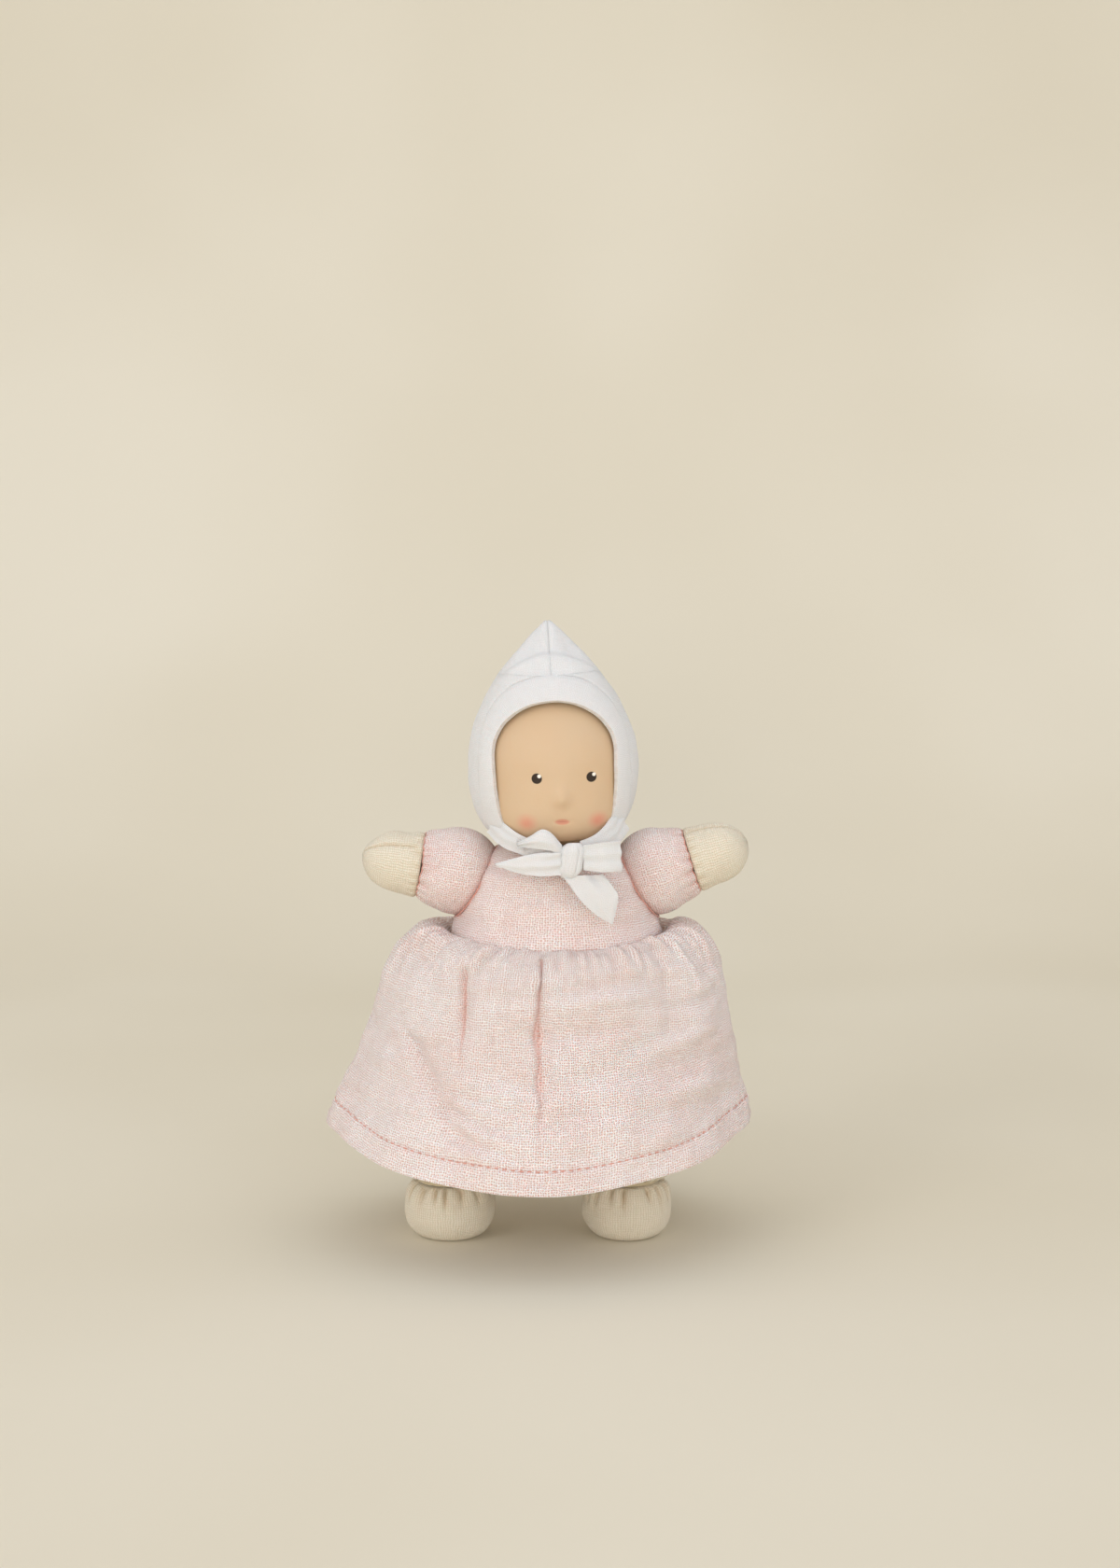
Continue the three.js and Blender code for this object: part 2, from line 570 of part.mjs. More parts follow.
function handOutline(inset) {
  const start = SLEEVE_LENGTH + GAP;
  const tip = SLEEVE_LENGTH + HAND_LENGTH;
  const path = new THREE.Path();
  path.moveTo(WRIST_RADIUS - inset, start);
  path.lineTo(HAND_RADIUS - inset, tip - HAND_TIP);
  path.absellipse(0, tip - HAND_TIP, HAND_RADIUS - inset, HAND_TIP - inset, 0, DOME_END);
  return path.getPoints(steps(inset));
}

// An outline made longer at its foot, and at its top where above is given.
function stretched(outline, below, above = 0) {
  const [first, last] = [outline[0], outline[outline.length - 1]];
  const longer = [new THREE.Vector2(first.x, first.y - below), ...outline];
  if (above > 0) longer.push(new THREE.Vector2(last.x, last.y + above));
  return longer;
}

function makeArm(name, side, raise) {
  const group = new THREE.Group();
  const tube = stretched(sleeveOutline(SKIN, false), SKIN, SKIN);
  const sleeve = cut(turned(sleeveOutline(0, false), LIMB_SIDES), turned(tube, WOOL_SIDES));
  group.add(piece(name + "_sleeve", sleeve, PINK_GAUZE));
  const palm = turned(stretched(handOutline(SKIN), SKIN), WOOL_SIDES);
  group.add(piece(name + "_hand", cut(turned(handOutline(0), LIMB_SIDES), palm), CREAM_COTTON));
  const wool = SKIN + GAP;
  const filling = turned([...sleeveOutline(wool, true), ...handOutline(wool).slice(1)], WOOL_SIDES);
  group.add(piece(name + "_arm_filling", filling, WOOL));
  group.position.set(side * SHOULDER_SPREAD, 0, SHOULDER_Z);
  group.rotation.y = side * (Math.PI / 2 - raise);
  return group;
}

// Head and neck, from the neck's centre

// The neck from its foot to the jaw, grown outward by grow.
function neckOutline(grow) {
  const groove = GROOVE_WIDTH / 2;
  return [
    new THREE.Vector2(NECK_RADIUS + grow, -NECK_PLUG - grow),
    new THREE.Vector2(NECK_RADIUS + grow, GROOVE_HEIGHT - groove - GROOVE_SLOPE),
    new THREE.Vector2(GROOVE_RADIUS + grow, GROOVE_HEIGHT - groove),
    new THREE.Vector2(GROOVE_RADIUS + grow, GROOVE_HEIGHT + groove),
    new THREE.Vector2(NECK_RADIUS + grow, GROOVE_HEIGHT + groove + GROOVE_SLOPE),
  ];
}

// The skull from the jaw to the crown.
function skullOutline(inset) {
  const radius = HEAD_RADIUS - inset;
  const path = new THREE.Path();
  path.moveTo(NECK_RADIUS - inset, HEAD_JAW + inset);
  path.bezierCurveTo(
    JAW_FULLNESS - inset, HEAD_JAW + inset,
    radius, HEAD_JAW + JAW_HOLD * (HEAD_WIDEST - HEAD_JAW),
    radius, HEAD_WIDEST,
  );
  path.absellipse(0, HEAD_WIDEST, radius, HEAD_TOP - inset - HEAD_WIDEST, 0, DOME_END);
  return path.getPoints(2 * steps(inset));
}

function makeHead() {
  const group = new THREE.Group();
  const bore = (inset, foot) => [
    new THREE.Vector2(NECK_BORE - (inset - RUBBER), foot),
    new THREE.Vector2(NECK_BORE - (inset - RUBBER), HEAD_JAW + inset),
    ...skullOutline(inset).slice(1),
  ];
  const face = skullOutline(0).reduce((best, p) =>
    Math.abs(p.y - NOSE_HEIGHT) < Math.abs(best.y - NOSE_HEIGHT) ? p : best,
  );
  const nose = ball(NOSE_RADIUS, LIMB_SIDES, 0, NOSE_RADIUS - NOSE_OUT - face.x, NOSE_HEIGHT);
  const shell = turned([...neckOutline(0), ...skullOutline(0)], HEAD_SIDES).add(nose);
  const hollow = turned(bore(RUBBER, -NECK_PLUG - RUBBER), WOOL_SIDES);
  group.add(piece("head_shell", cut(shell, hollow), RUBBER_SKIN));
  group.add(piece("head_filling", turned(bore(RUBBER + GAP, -NECK_PLUG), WOOL_SIDES), WOOL));
  return group;
}

// The cloth ball that is drawn in round the neck's groove, and its thread.
function makeNeck() {
  const group = new THREE.Group();
  const drawn = GROOVE_RADIUS + GAP + SKIN;
  const room = NECK_THREAD / 2 + GAP;
  const brow = Math.asin((GROOVE_HEIGHT - room - GROOVE_SLOPE) / NECK_BALL);
  const path = new THREE.Path();
  path.absarc(0, 0, NECK_BALL, -DOME_END, brow, false);
  path.lineTo(drawn, GROOVE_HEIGHT - room);
  path.lineTo(drawn, GROOVE_HEIGHT + room);
  path.lineTo(NECK_RADIUS + GAP + SKIN, NECK_FRILL);
  const outside = turned(path.getPoints(CURVE_STEPS), DISH_SIDES);
  const mouth = neckOutline(GAP);
  mouth.push(new THREE.Vector2(NECK_RADIUS + GAP, NECK_FRILL + SKIN));
  group.add(piece("neck_cover", cut(outside, turned(mouth, DISH_SIDES)), PINK_GAUZE));
  const radius = drawn + GAP + NECK_THREAD / 2;
  group.add(piece("neck_thread", ring(radius, NECK_THREAD, GROOVE_HEIGHT), THREAD));
  return group;
}

// Bonnet

// How far back the bonnet's middle lies at a height.
const bonnetBack = (z) => PEAK_BACK * THREE.MathUtils.smoothstep(z, HEAD_WIDEST, BONNET_PEAK);

// The bonnet's outline from its hem to its peak, grown outward by grow.
function bonnetOutline(grow, peak) {
  const wide = BONNET_RADIUS + grow;
  const hem = BONNET_HEM_HALF + grow;
  const path = new THREE.Path();
  path.moveTo(hem, BONNET_HEM);
  path.bezierCurveTo(
    hem + BONNET_CURVE.spread * (wide - hem), BONNET_HEM + BONNET_CURVE.low * (HEAD_WIDEST - BONNET_HEM),
    wide, BONNET_HEM + BONNET_CURVE.hold * (HEAD_WIDEST - BONNET_HEM),
    wide, HEAD_WIDEST,
  );
  path.bezierCurveTo(
    wide, HEAD_WIDEST + BONNET_CURVE.high * (peak - HEAD_WIDEST),
    PEAK_FLARE + grow, HEAD_WIDEST + BONNET_CURVE.flare * (peak - HEAD_WIDEST),
    BONNET_TIP, peak,
  );
  return path.getPoints(3 * CURVE_STEPS);
}

const bonnetRows = (grow, peak) =>
  bonnetOutline(grow, peak).map((p) => oval(HEAD_SIDES, p.y, p.x, p.x, 0, bonnetBack(p.y)));

// The point of the bonnet's front that is seen at x and z from straight ahead.
function bonnetFront(x, z) {
  const outline = bonnetOutline(0, BONNET_PEAK);
  const above = Math.max(1, outline.findIndex((p, i) => p.y > z || i === outline.length - 1));
  const [low, high] = [outline[above - 1], outline[above]];
  const share = THREE.MathUtils.clamp((z - low.y) / (high.y - low.y), 0, 1);
  const radius = THREE.MathUtils.lerp(low.x, high.x, share);
  const aside = THREE.MathUtils.clamp(x / radius, -BRIM_LIMIT, BRIM_LIMIT);
  return new THREE.Vector3(radius * aside, bonnetBack(z) - radius * Math.sqrt(1 - aside * aside), z);
}

// A cutter that widens from the middle of the head through an egg-shaped line on the bonnet's front.
function eggCutter(halfWidth, widest, top, bottom) {
  const shape = new THREE.Shape();
  shape.moveTo(halfWidth, widest);
  shape.absellipse(0, widest, halfWidth, top - widest, 0, Math.PI, false);
  const cheek = widest - FACE_CURVE.cheek * (widest - bottom);
  const chin = FACE_CURVE.chin * halfWidth;
  shape.bezierCurveTo(-halfWidth, cheek, -chin, bottom, 0, bottom);
  shape.bezierCurveTo(chin, bottom, halfWidth, cheek, halfWidth, widest);
  const line = shape.getPoints(4 * CURVE_STEPS).slice(0, -1).map((p) => bonnetFront(p.x, p.y));
  const middle = new THREE.Vector3(0, 0, HEAD_WIDEST);
  const row = (share) => line.map((p) => middle.clone().lerp(p, share));
  return loft([row(CUTTER_NEAR), row(CUTTER_FAR)]);
}

function makeBonnet() {
  const group = new THREE.Group();
  const hollowRows = bonnetRows(-BONNET_CLOTH, BONNET_PEAK - PEAK_SEAM);
  const hollow = loft([raised(hollowRows[0], -BONNET_CLOTH), ...hollowRows]);
  const face = eggCutter(FACE_HALF_WIDTH, FACE_WIDEST, FACE_TOP, FACE_BOTTOM);
  const seam = (gap) =>
    eggCutter(FACE_HALF_WIDTH + BRIM_SIDE + gap, FACE_WIDEST, FACE_TOP + BRIM_WIDTH + gap, -BRIM_LOW);
  const crown = cut(loft(bonnetRows(0, BONNET_PEAK)), hollow, seam(GAP));
  const half = (side) => block(BEYOND, BEYOND, BEYOND, side * (BEYOND / 2 + GAP / 2), 0, 0);
  group.add(piece("bonnet_left_panel", crown.intersect(half(1)), WHITE_COTTON));
  group.add(piece("bonnet_right_panel", crown.intersect(half(-1)), WHITE_COTTON));
  const proud = loft(bonnetRows(BRIM_STEP, BONNET_PEAK + BRIM_STEP));
  const brim = cut(proud, hollow).intersect(seam(0));
  group.add(piece("bonnet_brim", cut(brim, face), WHITE_COTTON));
  return group;
}

// How far the knot reaches sideways at a distance in front of its middle, and forward at a height.
const knotSide = (y) => (KNOT_WIDTH / 2) * Math.sqrt(Math.max(0, 1 - (2 * y / KNOT_DEPTH) ** 2));
const knotFront = (z) => (KNOT_DEPTH / 2) * Math.sqrt(Math.max(0, 1 - (2 * z / KNOT_HEIGHT) ** 2));

// The bow under the chin and the two ties that run to it from the brim.
function makeBow() {
  const group = new THREE.Group();
  const up = new THREE.Vector3(0, 0, 1);
  const knot = new THREE.SphereGeometry(1 / 2, LIMB_SIDES, LIMB_SIDES / 2);
  knot.scale(KNOT_WIDTH, KNOT_DEPTH, KNOT_HEIGHT);
  group.add(piece("bow_knot", solid(knot), WHITE_COTTON));

  const puff = LOOP_PUFF / 2;
  const loop = (side, rise) => {
    const from = GAP + 1 / Math.hypot(2 * Math.cos(rise) / KNOT_WIDTH, 2 * Math.sin(rise) / KNOT_HEIGHT);
    const out = (share, y) => {
      const along = from + share * LOOP_LENGTH;
      return new THREE.Vector3(side * along * Math.cos(rise), y, along * Math.sin(rise));
    };
    const across = new THREE.Vector3(-side * Math.sin(rise), 0, Math.cos(rise));
    const path = [out(0, puff / 2), out(0.5, puff), out(1, 0), out(0.5, -puff), out(0, -puff / 2)];
    const pinched = LOOP_PINCH * TIE_WIDTH;
    return strip(path, across, [pinched, TIE_WIDTH, TIE_WIDTH, pinched], BOW_CLOTH);
  };
  group.add(piece("bow_left_loop", loop(1, 0), WHITE_COTTON));
  group.add(piece("bow_right_loop", loop(-1, RIGHT_LOOP_RISE), WHITE_COTTON));

  const lap = KNOT_DEPTH / 2 + GAP + BOW_CLOTH;
  const below = KNOT_HEIGHT / 2 + GAP + BOW_CLOTH / 2;
  const leftTail = [
    new THREE.Vector3(0, -lap / 2, -below),
    new THREE.Vector3(LEFT_TAIL_REACH / 2, -lap, -(below + LEFT_TAIL_DROP) / 2),
    new THREE.Vector3(LEFT_TAIL_REACH, -lap, -LEFT_TAIL_DROP),
  ];
  const level = new THREE.Vector3(1, 0, 0);
  const leftStrip = strip(leftTail, level, [TIE_WIDTH, TIE_WIDTH, TAIL_TIP], BOW_CLOTH);
  group.add(piece("bow_left_tail", leftStrip, WHITE_COTTON));
  const low = TAIL_LOW * KNOT_HEIGHT;
  const rightTail = [
    new THREE.Vector3(-knotSide(lap / 3) - GAP, -lap / 3, -low),
    new THREE.Vector3(-RIGHT_TAIL_REACH / 2, -lap / 3, -low - RIGHT_TAIL_DROP / 3),
    new THREE.Vector3(-RIGHT_TAIL_REACH, 0, -low - RIGHT_TAIL_DROP),
  ];
  const rightWidths = [TAIL_WIDTH.root * TIE_WIDTH, TAIL_WIDTH.middle * TIE_WIDTH, TAIL_TIP];
  group.add(piece("bow_right_tail", strip(rightTail, up, rightWidths, BOW_CLOTH), WHITE_COTTON));

  group.position.set(BOW_SIDE, -BOW_OUT, BOW_HEIGHT);
  return group;
}

function makeTies() {
  const group = new THREE.Group();
  const half = TIE_FOLDED / 2;
  const upperEdge = TIE_LIFT + half + half * Math.sin(TIE_SLOPE);
  const behind = BOW_OUT - knotFront(upperEdge) - GAP - half * Math.cos(TIE_SLOPE);
  for (const [name, side] of [["left_tie", 1], ["right_tie", -1]]) {
    const outward = new THREE.Vector3(side * Math.sin(TIE_START), -Math.cos(TIE_START), 0);
    const across = outward.clone().multiplyScalar(Math.cos(TIE_SLOPE)).setZ(Math.sin(TIE_SLOPE));
    const start = outward.clone().multiplyScalar(BONNET_HEM_HALF).setZ(BONNET_HEM - GAP - BOW_CLOTH / 2);
    start.addScaledVector(across, -half);
    const aside = BOW_SIDE + side * (GAP + BOW_CLOTH);
    const end = new THREE.Vector3(aside, -behind, BOW_HEIGHT + half + TIE_LIFT);
    const middle = start.clone().lerp(end, TIE_SAG);
    middle.y -= BOW_CLOTH;
    const tie = strip([start, middle, end], across, [TIE_FOLDED, TIE_FOLDED], BOW_CLOTH);
    group.add(piece(name, tie, WHITE_COTTON));
  }
  return group;
}

const doll = new THREE.Group();
doll.add(makeLeg("left", 1), makeLeg("right", -1), makeSkirt());

const body = new THREE.Group();
body.position.x = BODY_SHIFT;
body.add(makeTrunk(), makeArm("left", 1, LEFT_ARM_RAISE), makeArm("right", -1, RIGHT_ARM_RAISE));
doll.add(body);

const neck = makeNeck();
neck.position.z = NECK_Z;
neck.rotation.y = HEAD_TILT;
body.add(neck);

const head = makeHead();
head.rotation.z = HEAD_TURN;
neck.add(head);

const bonnet = makeBonnet();
bonnet.rotation.z = BONNET_TURN;
bonnet.add(makeBow(), makeTies());
head.add(bonnet);

export default doll;
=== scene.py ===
"""A small stuffed cloth doll with a moulded rubber head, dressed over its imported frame.

Sizes are in millimetres until a mesh is made, and in metres in the meshes. The doll faces -Y,
and left and right are its own: left is +X.
"""

from __future__ import annotations

import json
import logging
import math
from dataclasses import dataclass, field, replace
from enum import Enum

import bpy
import numpy as np
from mathutils import Vector, noise
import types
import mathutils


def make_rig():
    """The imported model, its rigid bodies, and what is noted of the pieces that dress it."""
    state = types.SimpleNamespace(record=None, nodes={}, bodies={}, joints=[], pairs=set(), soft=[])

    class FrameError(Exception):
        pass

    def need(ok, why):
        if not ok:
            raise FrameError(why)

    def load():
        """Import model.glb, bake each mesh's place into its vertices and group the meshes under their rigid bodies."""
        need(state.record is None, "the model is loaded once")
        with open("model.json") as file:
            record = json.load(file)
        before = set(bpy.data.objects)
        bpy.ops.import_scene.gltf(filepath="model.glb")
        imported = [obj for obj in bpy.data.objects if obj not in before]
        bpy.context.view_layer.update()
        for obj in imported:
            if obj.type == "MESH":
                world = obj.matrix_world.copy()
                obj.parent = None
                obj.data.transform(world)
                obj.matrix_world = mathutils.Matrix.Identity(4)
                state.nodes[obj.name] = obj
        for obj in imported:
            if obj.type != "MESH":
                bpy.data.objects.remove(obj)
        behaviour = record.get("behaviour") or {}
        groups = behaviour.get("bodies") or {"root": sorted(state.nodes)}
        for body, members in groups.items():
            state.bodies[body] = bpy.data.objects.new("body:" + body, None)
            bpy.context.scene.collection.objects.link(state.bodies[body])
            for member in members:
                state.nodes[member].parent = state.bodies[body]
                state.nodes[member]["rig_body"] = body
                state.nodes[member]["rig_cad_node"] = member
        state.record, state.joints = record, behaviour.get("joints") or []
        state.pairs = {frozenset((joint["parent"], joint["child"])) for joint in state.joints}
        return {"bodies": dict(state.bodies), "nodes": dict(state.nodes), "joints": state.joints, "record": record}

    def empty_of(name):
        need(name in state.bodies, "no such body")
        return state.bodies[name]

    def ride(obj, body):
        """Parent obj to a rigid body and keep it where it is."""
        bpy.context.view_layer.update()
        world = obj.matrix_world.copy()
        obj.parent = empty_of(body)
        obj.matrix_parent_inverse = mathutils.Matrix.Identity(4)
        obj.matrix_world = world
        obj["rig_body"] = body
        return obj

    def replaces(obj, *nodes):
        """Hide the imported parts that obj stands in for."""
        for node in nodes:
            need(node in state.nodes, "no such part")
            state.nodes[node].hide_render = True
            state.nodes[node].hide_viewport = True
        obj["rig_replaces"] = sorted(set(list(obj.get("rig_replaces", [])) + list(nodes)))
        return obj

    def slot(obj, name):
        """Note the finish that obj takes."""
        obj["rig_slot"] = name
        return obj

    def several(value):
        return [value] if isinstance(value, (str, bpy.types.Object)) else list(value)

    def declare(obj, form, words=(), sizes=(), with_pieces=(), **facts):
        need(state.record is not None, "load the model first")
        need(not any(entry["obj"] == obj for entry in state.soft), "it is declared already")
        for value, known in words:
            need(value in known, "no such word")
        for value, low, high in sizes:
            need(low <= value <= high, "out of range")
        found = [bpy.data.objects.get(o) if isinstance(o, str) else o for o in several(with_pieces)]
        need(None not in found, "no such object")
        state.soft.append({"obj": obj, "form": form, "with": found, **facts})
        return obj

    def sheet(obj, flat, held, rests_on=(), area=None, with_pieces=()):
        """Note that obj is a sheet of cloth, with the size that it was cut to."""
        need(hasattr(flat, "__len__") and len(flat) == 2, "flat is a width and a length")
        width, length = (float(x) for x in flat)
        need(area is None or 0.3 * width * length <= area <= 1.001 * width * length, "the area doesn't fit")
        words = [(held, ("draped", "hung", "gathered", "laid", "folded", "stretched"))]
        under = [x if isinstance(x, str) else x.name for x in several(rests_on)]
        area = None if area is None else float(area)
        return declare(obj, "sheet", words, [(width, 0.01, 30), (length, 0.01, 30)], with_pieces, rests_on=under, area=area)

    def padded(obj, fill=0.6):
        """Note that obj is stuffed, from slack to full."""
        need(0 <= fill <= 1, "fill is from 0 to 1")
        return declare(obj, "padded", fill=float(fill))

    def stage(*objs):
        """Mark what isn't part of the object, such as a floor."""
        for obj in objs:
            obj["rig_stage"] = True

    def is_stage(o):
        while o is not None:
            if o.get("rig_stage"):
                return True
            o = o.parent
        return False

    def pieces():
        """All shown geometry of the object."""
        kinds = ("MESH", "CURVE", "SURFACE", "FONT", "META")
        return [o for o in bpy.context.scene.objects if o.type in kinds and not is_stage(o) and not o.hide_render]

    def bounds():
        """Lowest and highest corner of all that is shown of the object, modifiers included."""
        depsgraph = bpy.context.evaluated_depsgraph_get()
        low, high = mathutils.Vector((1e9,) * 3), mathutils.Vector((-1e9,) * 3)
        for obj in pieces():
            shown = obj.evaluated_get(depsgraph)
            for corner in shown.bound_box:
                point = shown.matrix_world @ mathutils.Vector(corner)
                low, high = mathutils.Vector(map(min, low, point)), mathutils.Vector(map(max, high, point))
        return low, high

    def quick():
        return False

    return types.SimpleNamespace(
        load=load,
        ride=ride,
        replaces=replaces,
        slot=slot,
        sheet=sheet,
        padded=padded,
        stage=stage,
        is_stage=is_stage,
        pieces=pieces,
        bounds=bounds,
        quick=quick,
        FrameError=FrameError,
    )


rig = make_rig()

LOG = logging.getLogger("doll")
MM = 0.001
CLOTH_MAP = "cloth"
# painted shade: the mesh attribute that darkens the cloth's colour in folds, gathers and seam grooves
FOLD_SHADE = "folded"
LEAST_CUT = 10.1  # the narrowest cut that a sheet is declared with
SHARP_BEND = math.radians(75)  # an edge that bends more is drawn sharp
NO_LENGTH = 1e-9  # stands in for a length of nothing in a division
SIZE_FILE = "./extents.json"
Array = np.ndarray
Pair = tuple[float, float]
Point = tuple[float, float, float]
Colour = tuple[float, float, float, float]


class Body(Enum):
    """The moving bodies of the frame."""

    TORSO = "torso"
    NECK = "neck"
    HEAD = "head"
    LEFT_ARM = "left_arm"
    RIGHT_ARM = "right_arm"
    LEFT_LEG = "left_leg"
    RIGHT_LEG = "right_leg"


class Side(Enum):
    """The doll's own sides, as signs of X."""

    LEFT = 1
    RIGHT = -1

    @property
    def label(self) -> str:
        """The side's name as it stands in node names."""
        return self.name.lower()


class Weave(Enum):
    """How a cloth's threads run."""

    PLAIN = "plain"
    KNIT = "knit"


def tint(code: str) -> Colour:
    """Turns a written colour into the numbers that a shader takes.

    Args:
        code: Six hexadecimal digits.

    Returns:
        Linear red, green and blue, with an alpha of one.
    """
    parts = [int(code[i : i + 2], 16) / 255 for i in (0, 2, 4)]
    red, green, blue = (c / 12.92 if c <= 0.04045 else ((c + 0.055) / 1.055) ** 2.4 for c in parts)
    return red, green, blue, 1.0


def smooth(low: float, high: float, x: Array) -> Array:
    """Eases from 0 at low to 1 at high.

    Args:
        low: Where the rise starts.
        high: Where it ends; it may lie below low.
        x: The values to ease.

    Returns:
        The eased shares.
    """
    t = np.clip((x - low) / (high - low), 0, 1)
    return t * t * (3 - 2 * t)


def hump(x: Array, middle: float, spread: float | Array) -> Array:
    """A bell-shaped bump of height one round a middle."""
    return np.exp(-(((x - middle) / spread) ** 2))


def bezier(handles: list[tuple[float, ...]], t: Array) -> Array:
    """Points of a cubic curve.

    Args:
        handles: Its two ends and the two handles between them, in order.
        t: Shares of the way along it.

    Returns:
        One point for each share.
    """
    a, b, c, d = (np.asarray(h, float) for h in handles)
    t = np.asarray(t)[:, None]
    return a * (1 - t) ** 3 + 3 * b * t * (1 - t) ** 2 + 3 * c * t**2 * (1 - t) + d * t**3


def turns(columns: int) -> Array:
    """One row of angles round a ring."""
    return np.linspace(-np.pi, np.pi, columns, endpoint=False)[None]


def wrapped(angle: Array) -> Array:
    """Angles brought within half a turn of 0."""
    return np.mod(angle + np.pi, math.tau) - np.pi


def bow_of(middle: Pair, radii: Pair, span: Pair, count: int) -> Array:
    """Points of an upright elliptical arc.

    Args:
        middle: Its middle, across and up.
        radii: Its half-width and half-height.
        span: Its first and last angle.
        count: How many points it has.

    Returns:
        The points, across and up.
    """
    angle = np.linspace(span[0], span[1], count)
    return np.stack([middle[0] + radii[0] * np.cos(angle), middle[1] + radii[1] * np.sin(angle)], -1)


def run_along(line: Array) -> Array:
    """How far along a line each of its points lies."""
    return np.concatenate([[0], np.cumsum(np.linalg.norm(np.diff(line, axis=0), axis=1))])


def run_down(points: Array) -> Array:
    """How far down a grid each of its rows lies, on average."""
    return np.concatenate([[0], np.cumsum(np.linalg.norm(np.diff(points, axis=0), axis=2).mean(1))])


def run_across(points: Array) -> Array:
    """How far along its row each point of a grid lies."""
    return np.cumsum(np.linalg.norm(np.diff(points, axis=1, prepend=points[:, :1]), axis=2), axis=1)


def flat_map(u: Array, v: Array) -> Array:
    """Places in a flat cloth: u across it, and v down it for each row."""
    return np.stack(np.broadcast_arrays(u, v[:, None]), -1)


def evenly(line: Array, count: int) -> Array:
    """Spaces points evenly along a line.

    Args:
        line: The line's points.
        count: How many points to return.

    Returns:
        The spaced points.
    """
    run = run_along(line)
    at = np.linspace(0, run[-1], count)
    return np.stack([np.interp(at, run, line[:, i]) for i in range(line.shape[1])], -1)


def softened(points: list[tuple[float, ...]], count: int) -> Array:
    """A smooth line through a few points.

    Args:
        points: The points that it passes.
        count: How many points to return.

    Returns:
        The line's points, evenly spaced.
    """
    p = np.asarray(points, float)
    padded = np.vstack([2 * p[0] - p[1], p, 2 * p[-1] - p[-2]])
    t = np.linspace(0, 1, 16)
    parts = []
    for a, b, c, d in zip(padded[:-3], padded[1:-2], padded[2:-1], padded[3:]):
        parts.append(bezier([b, b + (c - a) / 6, c - (d - b) / 6, c], t))
    return evenly(np.vstack(parts), count)


def turned(points: Array, axis: str, angle: float) -> Array:
    """Turns points about an axis through the origin.

    Args:
        points: The points, in the last dimension.
        axis: "y" or "z".
        angle: The turn in radians.

    Returns:
        The turned points.
    """
    c, s = math.cos(angle), math.sin(angle)
    matrix = {"y": [[c, 0, s], [0, 1, 0], [-s, 0, c]], "z": [[c, -s, 0], [s, c, 0], [0, 0, 1]]}[axis]
    return points @ np.array(matrix).T


def rings(side: Array, columns: int, front: Array | None = None, middle: Array | float = 0.0) -> Array:
    """Closed rows of points, each at its own height.

    Args:
        side: Sideways distances and heights, one pair for each row.
        columns: How many points a row has.
        front: Forward distances and heights, where they aren't the sideways ones.
        middle: How far sideways the rows' middles lie.

    Returns:
        Rows by columns by three.
    """
    angle = turns(columns)
    x = np.reshape(middle, (-1, 1)) + side[:, :1] * np.cos(angle)
    y = (side if front is None else front)[:, :1] * np.sin(angle)
    return np.stack([x, y, np.broadcast_to(side[:, 1:], x.shape)], -1)


def grain(points: Array, size: float, seed: int) -> Array:
    """Soft lumps, the same at every run.

    Args:
        points: Where they are read, in space.
        size: The lumps' size.
        seed: Which set of lumps.

    Returns:
        One value between about -1 and 1 for each point.
    """
    shift = Vector((7.3 * seed, 3.1 * seed, 5.7 * seed))
    spots = points.reshape(-1, 3) / size
    return np.array([noise.noise(Vector(p) + shift) for p in spots]).reshape(points.shape[:-1])


@dataclass
class Surface:
    """A grid of points that runs down its rows and round its columns.

    Attributes:
        points: Rows by columns by three.
        cloth: Where each point lies in the flat cloth; one row more than points where the last meets the first.
        ring: Whether the last column meets the first; cloth then has one column more.
        middle: The point that its outside faces away from; its own middle where none is given.
        folded: How deep in a fold each point lies, from 0 to 1, which darkens the cloth's colour there as painted
            shade.
    """

    points: Array
    cloth: Array
    ring: bool = True
    middle: Array | None = None
    folded: Array | None = None

    def normals(self) -> Array:
        """The outward directions at the points.

        Returns:
            Rows by columns by three, each of length one.
        """
        p = self.points
        across = np.roll(p, -1, 1) - np.roll(p, 1, 1) if self.ring else np.gradient(p, axis=1)
        looped = len(self.cloth) > len(p)
        along = np.roll(p, -1, 0) - np.roll(p, 1, 0) if looped else np.gradient(p, axis=0)
        n = np.cross(across, along)
        n /= np.maximum(np.linalg.norm(n, axis=-1, keepdims=True), NO_LENGTH)
        middle = p.reshape(-1, 3).mean(0) if self.middle is None else self.middle
        return n if np.sum(n * (p - middle)) >= 0 else -n

    def raised(self, height: Array) -> Surface:
        """The same surface with its points moved outward by a height each."""
        return replace(self, points=self.points + self.normals() * height[..., None])

    def moved(self, points: Array) -> Surface:
        """The same cloth at other points."""
        return replace(self, points=points)

    def cut(self) -> dict[str, object]:
        """The cloth's flat cut, in metres, in the words that declare a sheet.

        Returns:
            Its width and length, and its area.
        """
        wide = np.ptp(self.cloth[..., 0], axis=1)
        down = np.diff(self.cloth[:, 0, 1])
        area = float(np.sum((wide[1:] + wide[:-1]) / 2 * down))
        flat = (max(float(wide.max()), LEAST_CUT) * MM, float(down.sum()) * MM)
        return {"flat": flat, "area": min(area * MM * MM, flat[0] * flat[1])}


def ring_surface(rows: list[Array] | Array, middle: Array | None = None) -> Surface:
    """A surface round closed rows, with its cloth measured down the rows and round the longest.

    Args:
        rows: Closed rows of points, all of one length.
        middle: The point that the outside faces away from.

    Returns:
        The surface.
    """
    points = np.asarray(rows, float)
    round_length = np.linalg.norm(np.diff(points, axis=1, append=points[:, :1]), axis=2).sum(1).max()
    u = np.linspace(0, round_length, points.shape[1] + 1)
    return Surface(points, flat_map(u[None], run_down(points)), True, middle)


